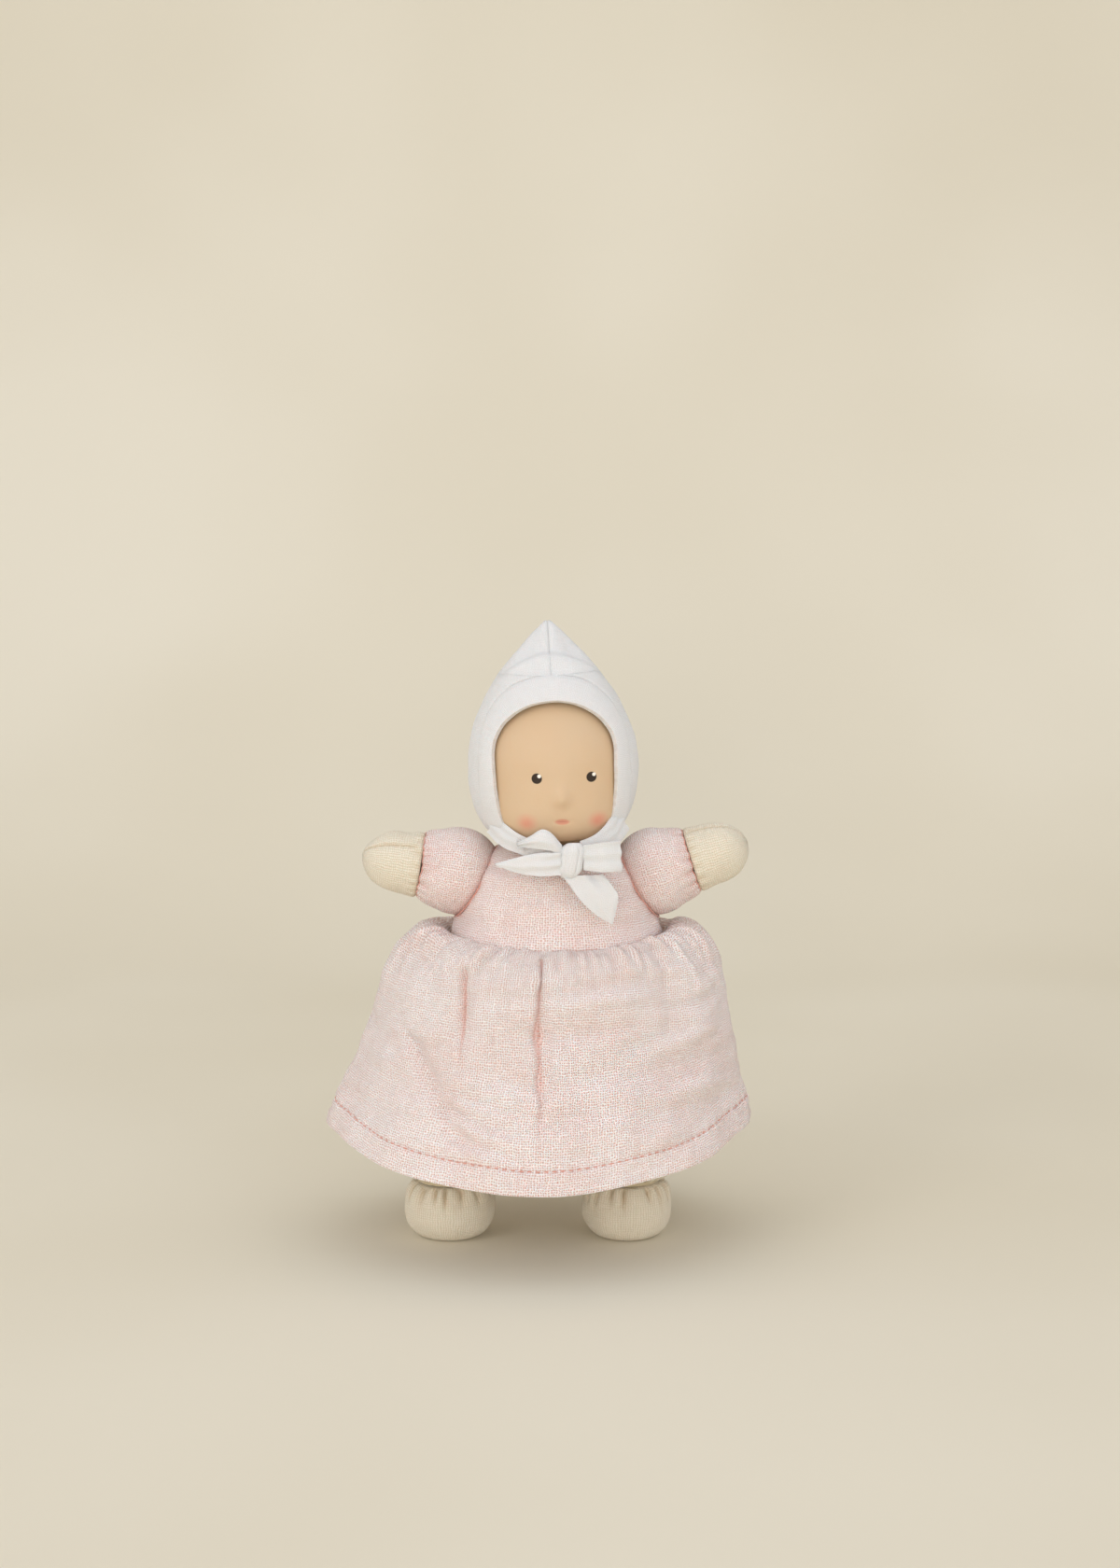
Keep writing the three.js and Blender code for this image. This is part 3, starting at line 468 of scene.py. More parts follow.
def cord_surface(line: Array, radius: float, sides: int = 8) -> Surface:
    """The outside of a round thread along a closed line.

    Args:
        line: The line's points.
        radius: The thread's radius.
        sides: Points round the thread.

    Returns:
        The surface, closed both ways.
    """
    ahead = np.roll(line, -1, 0) - np.roll(line, 1, 0)
    ahead /= np.linalg.norm(ahead, axis=1, keepdims=True)
    out = line - line.mean(0)
    out -= np.sum(out * ahead, axis=1, keepdims=True) * ahead
    out /= np.linalg.norm(out, axis=1, keepdims=True)
    turn = np.linspace(0, math.tau, sides, endpoint=False)[None, :, None]
    ring = out[:, None] * np.cos(turn) + np.cross(ahead, out)[:, None] * np.sin(turn)
    u = np.linspace(0, math.tau * radius, sides + 1)
    return Surface(line[:, None] + radius * ring, flat_map(u[None], run_along(np.vstack([line, line[:1]]))))


def make_piece(name: str, surface: Surface, finish: Finish, wall: float = 0.0) -> bpy.types.Object:
    """Makes a closed mesh of a surface.

    Args:
        name: The piece's name.
        surface: Its outside, in millimetres.
        finish: What it is made of.
        wall: The cloth's thickness; without one the ends are capped and the body is full.

    Returns:
        The mesh object, linked to the scene.
    """
    rows, columns = surface.points.shape[:2]
    tall, wide = surface.cloth.shape[:2]
    count = rows * columns
    row, col = np.meshgrid(np.arange(tall - 1), np.arange(wide - 1), indexing="ij")
    row, col = row.ravel(), col.ravel()
    after, below = (col + 1) % columns, (row + 1) % rows
    quads = np.stack([row * columns + col, row * columns + after,
                      below * columns + after, below * columns + col], -1)
    spot = row * wide + col
    spots = np.stack([spot, spot + 1, spot + wide + 1, spot + wide], -1)
    vertices = surface.points.reshape(-1, 3)
    cloth = surface.cloth.reshape(-1, 2)
    c = np.arange(wide - 1)
    ends = [(r * columns + c, r * columns + (c + 1) % columns, r * wide + c, r * wide + c + 1)
            for r in (0, rows - 1)]
    faces, marks = [quads], [spots]
    if wall:
        inner = surface.points - surface.normals() * wall
        vertices = np.vstack([vertices, inner.reshape(-1, 3)])
        faces.append(quads[:, ::-1] + count)
        marks.append(spots[:, ::-1])
        edges = [(ends[0], 1), (ends[1], -1)]
        if not surface.ring:
            r = np.arange(rows - 1)
            edges += [((r * columns + k, (r + 1) * columns + k, r * wide + k, (r + 1) * wide + k), way)
                      for k, way in ((0, -1), (columns - 1, 1))]
        for (a, b, ua, ub), way in edges:
            faces.append(np.stack([b, a, a + count, b + count], -1)[:, ::way])
            marks.append(np.stack([ub, ua, ua, ub], -1)[:, ::way])
    elif tall == rows:
        hubs = surface.points[[0, -1]].mean(1)
        vertices = np.vstack([vertices, hubs])
        cloth = np.vstack([cloth, surface.cloth[[0, -1]].mean(1)])
        for k, ((a, b, ua, ub), way) in enumerate(zip(ends, (1, -1))):
            hub, spot = np.full_like(a, count + k), np.full_like(a, rows * wide + k)
            faces.append(np.stack([hub, b, a], -1)[:, ::way])
            marks.append(np.stack([spot, ub, ua], -1)[:, ::way])
    corners = np.concatenate([np.vstack([f[:, :3] for f in faces]),
                              np.vstack([f[:, [0, 2, 3]] for f in faces if f.shape[1] == 4])])
    a, b, d = (vertices[corners[:, i]] for i in range(3))
    if np.einsum("ij,ij->i", a, np.cross(b, d)).sum() < 0:
        faces, marks = [f[:, ::-1] for f in faces], [m[:, ::-1] for m in marks]
    mesh = bpy.data.meshes.new(name)
    mesh.from_pydata((vertices * MM).tolist(), [], [f for part in faces for f in part.tolist()])
    flat = np.concatenate([cloth[m.ravel()] for m in marks])
    mesh.uv_layers.new(name=CLOTH_MAP).data.foreach_set("uv", flat.ravel().astype(np.float32))
    # the fold depths become the attribute that paints shade into the cloth
    if surface.folded is not None:
        depths = np.zeros(len(vertices), np.float32)
        depths[:count] = np.clip(surface.folded, 0, 1).ravel()
        mesh.attributes.new(FOLD_SHADE, "FLOAT", "POINT").data.foreach_set("value", depths)
    mesh.shade_smooth()
    mesh.set_sharp_from_angle(angle=SHARP_BEND)
    mesh.materials.append(finish.material())
    piece = bpy.data.objects.new(name, mesh)
    bpy.context.scene.collection.objects.link(piece)
    return piece


def attach(piece: bpy.types.Object, body: Body, slot: str, *nodes: str) -> bpy.types.Object:
    """Puts a piece on its body in place of its solids.

    Args:
        piece: The finished piece.
        body: The body that it moves with.
        slot: The record's material slot.
        nodes: The solids that it stands for.

    Returns:
        The piece.
    """
    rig.ride(piece, body.value)
    if nodes:
        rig.replaces(piece, *nodes)
    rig.slot(piece, slot)
    LOG.info("%s rides on %s, %d faces", piece.name, body.value, len(piece.data.polygons))
    return piece


def dye(name: str, finish: Finish) -> None:
    """Gives a finish to a solid that is shown as it is.

    Args:
        name: The solid's name.
        finish: What it is made of.
    """
    materials = bpy.data.objects[name].data.materials
    materials.clear()
    materials.append(finish.material())


class NodePen:
    """Writes nodes into a tree."""

    def __init__(self, tree: bpy.types.NodeTree) -> None:
        """Keeps the tree that is written to."""
        self.tree = tree

    def add(self, kind: str, inputs: dict | None = None, **settings: object) -> bpy.types.Node:
        """Adds a node.

        Args:
            kind: The node's type.
            inputs: Sockets to link or values to set, by the input's name or number.
            settings: The node's own properties.

        Returns:
            The node.
        """
        node = self.tree.nodes.new(kind)
        for key, value in settings.items():
            setattr(node, key, value)
        self.feed(node, inputs or {})
        return node

    def feed(self, node: bpy.types.Node, inputs: dict) -> None:
        """Feeds a node's inputs.

        Args:
            node: The node.
            inputs: Sockets to link or values to set, by the input's name or number.
        """
        for key, value in inputs.items():
            if isinstance(value, bpy.types.NodeSocket):
                self.tree.links.new(value, node.inputs[key])
            else:
                node.inputs[key].default_value = value

    def maths(self, operation: str, *values: object) -> bpy.types.NodeSocket:
        """Adds a sum on numbers and returns its result."""
        return self.add("ShaderNodeMath", dict(enumerate(values)), operation=operation).outputs[0]

    def vector(self, operation: str, *values: object) -> bpy.types.NodeSocket:
        """Adds a sum on vectors and returns its vector."""
        return self.add("ShaderNodeVectorMath", dict(enumerate(values)), operation=operation).outputs[0]

    def mix(self, share: object, first: object, second: object) -> bpy.types.NodeSocket:
        """Mixes two colours by a share and returns the colour."""
        return self.add("ShaderNodeMix", {0: share, 6: first, 7: second}, data_type="RGBA").outputs[2]

    def lumps(self, place: object, scale: float, detail: float = 2.0) -> bpy.types.NodeSocket:
        """Adds a noise and returns its grey value."""
        node = self.add("ShaderNodeTexNoise", {"Vector": place, "Scale": scale, "Detail": detail})
        return node.outputs["Fac"]

    def eased(self, value: object, low: float, high: float) -> bpy.types.NodeSocket:
        """Eases a value from 0 at low to 1 at high."""
        spread = {"Value": value, "From Min": low, "From Max": high}
        return self.add("ShaderNodeMapRange", spread, interpolation_type="SMOOTHSTEP").outputs[0]


class Finish:
    """What a piece is made of; its material is made once and shared."""

    label: str

    def material(self) -> bpy.types.Material:
        """The finish's material.

        Returns:
            The one that is there already, or a new one.
        """
        made = bpy.data.materials.get(self.label)
        if made is None:
            made = bpy.data.materials.new(self.label)
            made.use_nodes = True
            self.paint(NodePen(made.node_tree), made.node_tree.nodes["Principled BSDF"])
        return made

    def paint(self, pen: NodePen, shader: bpy.types.Node) -> None:
        """Writes the finish's nodes.

        Args:
            pen: Writes into the material's tree.
            shader: The surface shader to feed.
        """
        raise NotImplementedError


@dataclass(frozen=True)
class Cloth(Finish):
    """A cloth whose threads follow the piece's own flat map, in millimetres.

    Attributes:
        label: The material's name.
        thread: Colour of the raised threads.
        hollow: Colour between them.
        deep: Colour painted into folds, gathers and seam grooves as shade.
        pitch: Distance between threads, across and along.
        weave: How they run.
        relief: Height of the threads.
        crinkle: Height of the cloth's small creases.
        crinkle_size: Size of those creases.
        sheen: Strength of the fuzz.
        through: How much light passes into the cloth.
    """

    label: str
    thread: str
    hollow: str
    deep: str
    pitch: Pair
    weave: Weave = Weave.PLAIN
    relief: float = 0.12
    crinkle: float = 0.25
    crinkle_size: float = 4.0
    sheen: float = 0.25
    through: float = 0.2

    def threads(self, pen: NodePen, cloth: bpy.types.NodeSocket) -> bpy.types.NodeSocket:
        """Writes the threads, which stray a little.

        Args:
            pen: Writes into the material's tree.
            cloth: The place in the flat cloth.

        Returns:
            The threads' height, from about 0 to 1.
        """
        drift = pen.add("ShaderNodeTexNoise", {"Vector": cloth, "Scale": 0.4, "Detail": 1.0}).outputs["Color"]
        centred = pen.vector("SUBTRACT", drift, (0.5, 0.5, 0.5))
        strayed = pen.vector("MULTIPLY_ADD", centred, (1.1, 1.1, 0.0), cloth)
        ways = pen.add("ShaderNodeSeparateXYZ", {0: strayed}).outputs
        u, v = (pen.maths("MULTIPLY", way, math.tau / pitch) for way, pitch in zip(ways, self.pitch))
        if self.weave is Weave.KNIT:
            wale = pen.maths("ABSOLUTE", pen.maths("SINE", pen.maths("MULTIPLY", u, 0.5)))
            course = pen.maths("SINE", pen.maths("MULTIPLY_ADD", wale, 2.2, v))
            return pen.maths("MULTIPLY_ADD", course, 0.28, pen.maths("MULTIPLY", wale, 0.72))
        cover = pen.maths("MAXIMUM", pen.maths("SINE", u), pen.maths("SINE", v))
        halved = [pen.maths("SINE", pen.maths("MULTIPLY", way, 0.5)) for way in (u, v)]
        over = pen.maths("MULTIPLY", *halved)
        return pen.maths("MULTIPLY_ADD", cover, 0.42, pen.maths("MULTIPLY_ADD", over, 0.16, 0.42))

    def slubs(self, pen: NodePen, cloth: bpy.types.NodeSocket) -> bpy.types.NodeSocket:
        """Writes the threads' thick places, along both ways of the cloth and in patches.

        Args:
            pen: Writes into the material's tree.
            cloth: The place in the flat cloth.

        Returns:
            The thickness, about 1.3 on average.
        """
        stretches = ((2.2, 0.12, 1.0), (0.12, 2.2, 1.0), (0.38, 0.8, 1.0))
        warp, weft, patchy = (pen.add("ShaderNodeMapping", {0: cloth, 3: way}).outputs[0] for way in stretches)
        both = pen.maths("ADD", pen.lumps(warp, 1.0), pen.lumps(weft, 1.0))
        return pen.maths("MULTIPLY_ADD", pen.lumps(patchy, 1.0, 3.0), 0.6, both)

    def paint(self, pen: NodePen, shader: bpy.types.Node) -> None:
        """Writes the weave, its slubs, the creases, the fading and the painted shade in folds.

        Args:
            pen: Writes into the material's tree.
            shader: The surface shader to feed.
        """
        cloth = pen.add("ShaderNodeUVMap", uv_map=CLOTH_MAP).outputs["UV"]
        place = pen.add("ShaderNodeTexCoord").outputs["Object"]
        threads, slubs = self.threads(pen, cloth), self.slubs(pen, cloth)
        worn = pen.maths("MULTIPLY_ADD", slubs, 0.4, pen.maths("MULTIPLY_ADD", threads, 0.9, -0.42))
        base = pen.mix(pen.eased(worn, 0.05, 1.0), tint(self.hollow), tint(self.thread))
        faded = pen.eased(pen.lumps(place, 55.0, 3.0), 0.3, 0.75)
        base = pen.mix(pen.maths("MULTIPLY", faded, 0.22), base, tint(self.hollow))
        # painted shade: the colour is mixed towards deep where the fold attribute is high
        folded = pen.add("ShaderNodeAttribute", attribute_name=FOLD_SHADE).outputs["Fac"]
        base = pen.mix(pen.maths("MULTIPLY", folded, 0.7), base, tint(self.deep))
        creases = pen.lumps(cloth, 1.0 / self.crinkle_size, 4.0)
        fuzz = pen.lumps(place, 2600.0)
        height = pen.maths("MULTIPLY", worn, self.relief)
        height = pen.maths("MULTIPLY_ADD", creases, self.crinkle, height)
        height = pen.maths("MULTIPLY_ADD", fuzz, 0.06, height)
        bump = pen.add("ShaderNodeBump", {"Strength": 1.0, "Distance": MM, "Height": height})
        pen.feed(shader, {
            "Base Color": base, "Normal": bump.outputs[0],
            "Roughness": pen.maths("MULTIPLY_ADD", worn, -0.1, 0.98), "Specular IOR Level": 0.2,
            "Sheen Weight": self.sheen, "Sheen Roughness": 0.6, "Sheen Tint": tint(self.thread),
            "Subsurface Weight": self.through, "Subsurface Radius": (1.0, 0.6, 0.5),
            "Subsurface Scale": 2.5 * MM})


@dataclass(frozen=True)
class SewingThread(Finish):
    """A twisted cotton thread."""

    label: str
    colour: str
    shade: str

    def paint(self, pen: NodePen, shader: bpy.types.Node) -> None:
        """Writes the twist and the thread's uneven dye.

        Args:
            pen: Writes into the material's tree.
            shader: The surface shader to feed.
        """
        place = pen.add("ShaderNodeTexCoord").outputs["Object"]
        twist = pen.add("ShaderNodeTexWave", {"Vector": place, "Scale": 900.0, "Distortion": 2.0},
                        bands_direction="DIAGONAL").outputs["Fac"]
        uneven = pen.maths("MULTIPLY_ADD", twist, 0.5, pen.maths("MULTIPLY", pen.lumps(place, 300.0), 0.5))
        base = pen.mix(uneven, tint(self.shade), tint(self.colour))
        bump = pen.add("ShaderNodeBump", {"Strength": 0.6, "Distance": 0.1 * MM, "Height": twist})
        pen.feed(shader, {"Base Color": base, "Normal": bump.outputs[0], "Roughness": 0.8, "Sheen Weight": 0.2})


@dataclass(frozen=True)
class PaintedRubber(Finish):
    """Matte moulded rubber with a small painted face.

    Places and sizes are in the frame, in millimetres; the reaches are how deep the paint goes.
    """

    label: str = "painted rubber"
    skin: str = "d3b897"
    warm: str = "d9ae7f"
    blush: str = "dc8f78"
    lip: str = "cf8770"
    lip_line: str = "b0664f"
    ink: str = "33261c"
    glint: str = "f7f1e6"
    eyes: tuple[Point, ...] = ((-0.2, -24.6, 151.9), (16.8, -23.6, 152.2))
    eye_radius: float = 1.65
    glint_shift: Point = (0.75, 0.0, 0.75)
    glint_radius: float = 0.62
    mouth: Point = (7.7, -24.0, 138.4)
    mouth_half: Pair = (2.6, 1.0)
    parting: float = 0.22
    cheeks: tuple[Point, ...] = ((-3.2, -20.5, 138.0), (18.7, -19.0, 138.6))
    cheek_radius: float = 4.5
    cheek_reach: float = 12.0
    reach: float = 9.0

    def spot(self, pen: NodePen, place: object, middle: Point, half: Point) -> bpy.types.NodeSocket:
        """Measures from a spot's middle.

        Args:
            pen: Writes into the material's tree.
            place: The point on the surface.
            middle: The spot's middle.
            half: Its half-sizes.

        Returns:
            The distance as a share of the half-sizes.
        """
        away = pen.vector("SUBTRACT", place, tuple(c * MM for c in middle))
        share = pen.vector("DIVIDE", away, tuple(h * MM for h in half))
        return pen.add("ShaderNodeVectorMath", {0: share}, operation="LENGTH").outputs["Value"]

    def marks(self) -> list[tuple[Point, Point, Pair, float, str]]:
        """The painted mouth and eyes, in the order in which they are painted.

        Returns:
            Each one's middle and half-sizes, the shares of these at which its paint starts and is full, its
            strength and its colour.
        """
        wide, high = self.mouth_half
        found = [(self.mouth, (wide, self.reach, high), (1.1, 0.6), 0.8, self.lip),
                 (self.mouth, (0.8 * wide, self.reach, self.parting), (1.1, 0.3), 0.6, self.lip_line)]
        for eye in self.eyes:
            light = tuple(e + s for e, s in zip(eye, self.glint_shift))
            found += [(eye, (self.eye_radius, self.reach, self.eye_radius), (1.05, 0.93), 1.0, self.ink),
                      (light, (self.glint_radius, self.reach, self.glint_radius), (1.1, 0.8), 1.0, self.glint)]
        return found

    def paint(self, pen: NodePen, shader: bpy.types.Node) -> None:
        """Writes the skin, the blush, the mouth and the eyes.

        Args:
            pen: Writes into the material's tree.
            shader: The surface shader to feed.
        """
        place = pen.add("ShaderNodeTexCoord").outputs["Object"]
        cloudy = pen.eased(pen.lumps(place, 38.0, 3.0), 0.35, 0.7)
        base = pen.mix(pen.maths("MULTIPLY", cloudy, 0.16), tint(self.skin), tint(self.warm))
        specks = pen.eased(pen.lumps(place, 1500.0, 1.0), 0.68, 0.78)
        base = pen.mix(pen.maths("MULTIPLY", specks, 0.12), base, tint(self.warm))
        for cheek in self.cheeks:
            half = (self.cheek_radius, self.cheek_reach, 0.85 * self.cheek_radius)
            near = pen.eased(self.spot(pen, place, cheek, half), 1.0, 0.0)
            patchy = pen.maths("MULTIPLY_ADD", pen.lumps(place, 420.0), 0.35, 0.66)
            base = pen.mix(pen.maths("MULTIPLY", near, patchy), base, tint(self.blush))
        for middle, half, (start, full), strength, colour in self.marks():
            near = pen.eased(self.spot(pen, place, middle, half), start, full)
            base = pen.mix(pen.maths("MULTIPLY", near, strength), base, tint(colour))
        large = pen.maths("MULTIPLY", pen.lumps(place, 120.0), 0.8)
        pores = pen.maths("ADD", pen.lumps(place, 900.0, 3.0), large)
        bump = pen.add("ShaderNodeBump", {"Strength": 0.35, "Distance": 0.12 * MM, "Height": pores})
        rough = pen.maths("MULTIPLY_ADD", pen.lumps(place, 200.0), 0.14, 0.54)
        pen.feed(shader, {
            "Base Color": base, "Normal": bump.outputs[0], "Roughness": rough, "Specular IOR Level": 0.32,
            "Subsurface Weight": 0.12, "Subsurface Radius": (1.0, 0.5, 0.3), "Subsurface Scale": 2.0 * MM})


@dataclass(frozen=True)
class Paper(Finish):
    """The pale floor and backdrop."""

    label: str = "pale paper"
    colour: str = "e7e0ce"
    shade: str = "e1d9c5"

    def paint(self, pen: NodePen, shader: bpy.types.Node) -> None:
        """Writes a faint cloudiness.

        Args:
            pen: Writes into the material's tree.
            shader: The surface shader to feed.
        """
        place = pen.add("ShaderNodeTexCoord").outputs["Object"]
        base = pen.mix(pen.eased(pen.lumps(place, 3.0), 0.3, 0.7), tint(self.shade), tint(self.colour))
        pen.feed(shader, {"Base Color": base, "Roughness": 0.95, "Specular IOR Level": 0.1})


# each cloth's third colour is the painted shade for its folds and seam grooves
GAUZE = Cloth("pink gauze", "fff9f7", "d8aa9d", "dd9583", (0.78, 0.7),
              relief=0.36, crinkle=0.8, crinkle_size=5.0, through=0.4)
COTTON = Cloth("white cotton", "e4e4e4", "d6d4d2", "a89c8e", (0.5, 0.5),
               relief=0.08, crinkle=0.4, crinkle_size=7.0)
JERSEY = Cloth("cream jersey", "eee7d8", "d3c8b0", "b6945f", (0.85, 0.7), Weave.KNIT,
               relief=0.14, crinkle=0.2)
CORAL = SewingThread("coral thread", "e3aa9b", "d08c7a")
CREAM = SewingThread("cream thread", "e0d3b6", "c2b18c")
RUBBER = PaintedRubber()
PAPER = Paper()


@dataclass
class Stuffing:
    """Swells a closed cloth body by a short cloth simulation.

    Attributes:
        pressure: The stuffing's push.
        frames: How long it pushes.
        limit: The farthest that a point may move.
        scale: How much larger the body is while it swells, because the solver suits larger cloth.
    """

    pressure: float = 3.0
    frames: int = 12
    limit: float = 1.1
    scale: float = 25.0

    def fill(self, piece: bpy.types.Object, columns: int, free: tuple[int, int]) -> None:
        """Swells a piece.

        Args:
            piece: The closed cloth body.
            columns: How many points a row of it has.
            free: The first row that may move, and the next that stays again, such as one at a seam.
        """
        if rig.quick():
            return
        mesh = piece.data
        rest = np.zeros(3 * len(mesh.vertices), np.float32)
        mesh.vertices.foreach_get("co", rest)
        mesh.vertices.foreach_set("co", rest * self.scale)
        mesh.update()
        row = np.arange(len(mesh.vertices)) // columns
        held = np.flatnonzero((row < free[0]) | (row >= free[1]))
        piece.vertex_groups.new(name="held").add(held.tolist(), 1.0, "REPLACE")
        swell = piece.modifiers.new("swell", "CLOTH")
        cloth = {"quality": 6, "mass": 0.15, "tension_stiffness": 40, "compression_stiffness": 40,
                 "bending_stiffness": 0.6, "use_pressure": True, "uniform_pressure_force": self.pressure,
                 "vertex_group_mass": "held"}
        for key, value in cloth.items():
            setattr(swell.settings, key, value)
        swell.settings.effector_weights.gravity = 0
        swell.collision_settings.use_collision = False
        swell.point_cache.frame_start = 1
        swell.point_cache.frame_end = self.frames
        scene = bpy.context.scene
        for frame in range(1, self.frames + 1):
            scene.frame_set(frame)
        shaped = piece.evaluated_get(bpy.context.evaluated_depsgraph_get()).data
        full = np.zeros_like(rest)
        shaped.vertices.foreach_get("co", full)
        piece.modifiers.remove(swell)
        piece.vertex_groups.clear()
        scene.frame_set(1)
        push = np.nan_to_num((full / self.scale - rest).reshape(-1, 3))
        length = np.maximum(np.linalg.norm(push, axis=1, keepdims=True), NO_LENGTH)
        push *= np.minimum(1, self.limit * MM / length)
        mesh.vertices.foreach_set("co", rest + push.ravel())
        mesh.update()


class StitchRow:
    """A row of stitches along a closed line, made by a node tree."""

    def __init__(self, pitch: float, length: float, thread: float) -> None:
        """Keeps the stitches' sizes in millimetres: their pitch, length and thread."""
        self.sizes = {"Pitch": pitch * MM, "Length": length * MM, "Thread": thread * MM}

    def tree(self) -> bpy.types.NodeTree:
        """The node tree that sets a stitch at each pitch of a line.

        Returns:
            The tree, with the sizes and the finish as its inputs.
        """
        tree = bpy.data.node_groups.get("stitch row")
        if tree is not None:
            return tree
        tree = bpy.data.node_groups.new("stitch row", "GeometryNodeTree")
        face = tree.interface
        face.new_socket("Geometry", in_out="INPUT", socket_type="NodeSocketGeometry")
        for name in self.sizes:
            face.new_socket(name, in_out="INPUT", socket_type="NodeSocketFloat")
        face.new_socket("Finish", in_out="INPUT", socket_type="NodeSocketMaterial")
        face.new_socket("Geometry", in_out="OUTPUT", socket_type="NodeSocketGeometry")
        pen = NodePen(tree)
        given = pen.add("NodeGroupInput").outputs
        line = pen.add("GeometryNodeMeshToCurve", {"Mesh": given["Geometry"]}).outputs[0]
        spots = pen.add("GeometryNodeCurveToPoints", {"Curve": line, "Length": given["Pitch"]}, mode="LENGTH")
        bead = pen.add("GeometryNodeMeshIcoSphere", {"Radius": 0.5, "Subdivisions": 2}).outputs[0]
        size = pen.add("ShaderNodeCombineXYZ", {0: given["Thread"], 1: given["Thread"], 2: given["Length"]})
        copies = pen.add("GeometryNodeInstanceOnPoints", {
            "Points": spots.outputs["Points"], "Instance": bead,
            "Rotation": spots.outputs["Rotation"], "Scale": size.outputs[0]})
        real = pen.add("GeometryNodeRealizeInstances", {0: copies.outputs[0]}).outputs[0]
        done = pen.add("GeometryNodeSetMaterial", {"Geometry": real, "Material": given["Finish"]}).outputs[0]
        pen.add("NodeGroupOutput", {"Geometry": done})
        return tree

    def sew(self, name: str, line: Array, finish: Finish) -> bpy.types.Object:
        """Sews the row.

        Args:
            name: The piece's name.
            line: The closed line's points.
            finish: The thread.

        Returns:
            The stitches as one plain mesh.
        """
        count = len(line)
        path = bpy.data.meshes.new(name + "_path")
        path.from_pydata((line * MM).tolist(), [(i, (i + 1) % count) for i in range(count)], [])
        carrier = bpy.data.objects.new(name + "_path", path)
        bpy.context.scene.collection.objects.link(carrier)
        row = carrier.modifiers.new("stitches", "NODES")
        row.node_group = self.tree()
        values = {**self.sizes, "Finish": finish.material()}
        for item in row.node_group.interface.items_tree:
            if item.in_out == "INPUT" and item.name in values:
                row[item.identifier] = values[item.name]
        depsgraph = bpy.context.evaluated_depsgraph_get()
        mesh = bpy.data.meshes.new_from_object(carrier.evaluated_get(depsgraph))
        mesh.name = name
        mesh.shade_smooth()
        carrier.modifiers.remove(row)
        bpy.data.objects.remove(carrier)
        bpy.data.meshes.remove(path)
        stitches = bpy.data.objects.new(name, mesh)
        bpy.context.scene.collection.objects.link(stitches)
        return stitches


@dataclass
class Pleat:
    """A deep fold of the skirt.

    Attributes:
        top: Where it would start at the waist, in degrees round the skirt.
        low: Where it would end at the hem, in degrees.
        start: Where it starts, as a share of the way down.
        end: Where it ends.
        depth: How deep it is.
        steep: How far its one flank runs.
        soft: How far its other flank runs.
        fade: The share of the way down in which it fades out.
        sway: How far it bends aside half-way down, in degrees.
    """

    top: float
    low: float
    start: float
    end: float
    depth: float
    steep: float
    soft: float
    fade: float = 0.3
    sway: float = 0.0

    def crisp(self) -> bool:
        """Whether the fold has a sharp edge."""
        return self.steep < 1

    def middle(self, share: Array) -> Array:
        """Where the fold runs, in radians, at shares of the way down."""
        return np.radians(self.top + (self.low - self.top) * share - self.sway * hump(share, 0.57, 0.13))

    def off(self, angle: Array, share: Array) -> Array:
        """How far points lie from the fold, in radians."""
        return wrapped(angle - self.middle(share))

    def reach(self, share: Array) -> Array:
        """How much of the fold is there at shares of the way down."""
        return smooth(self.start, self.start + 0.1, share) * smooth(self.end, self.end - self.fade, share)


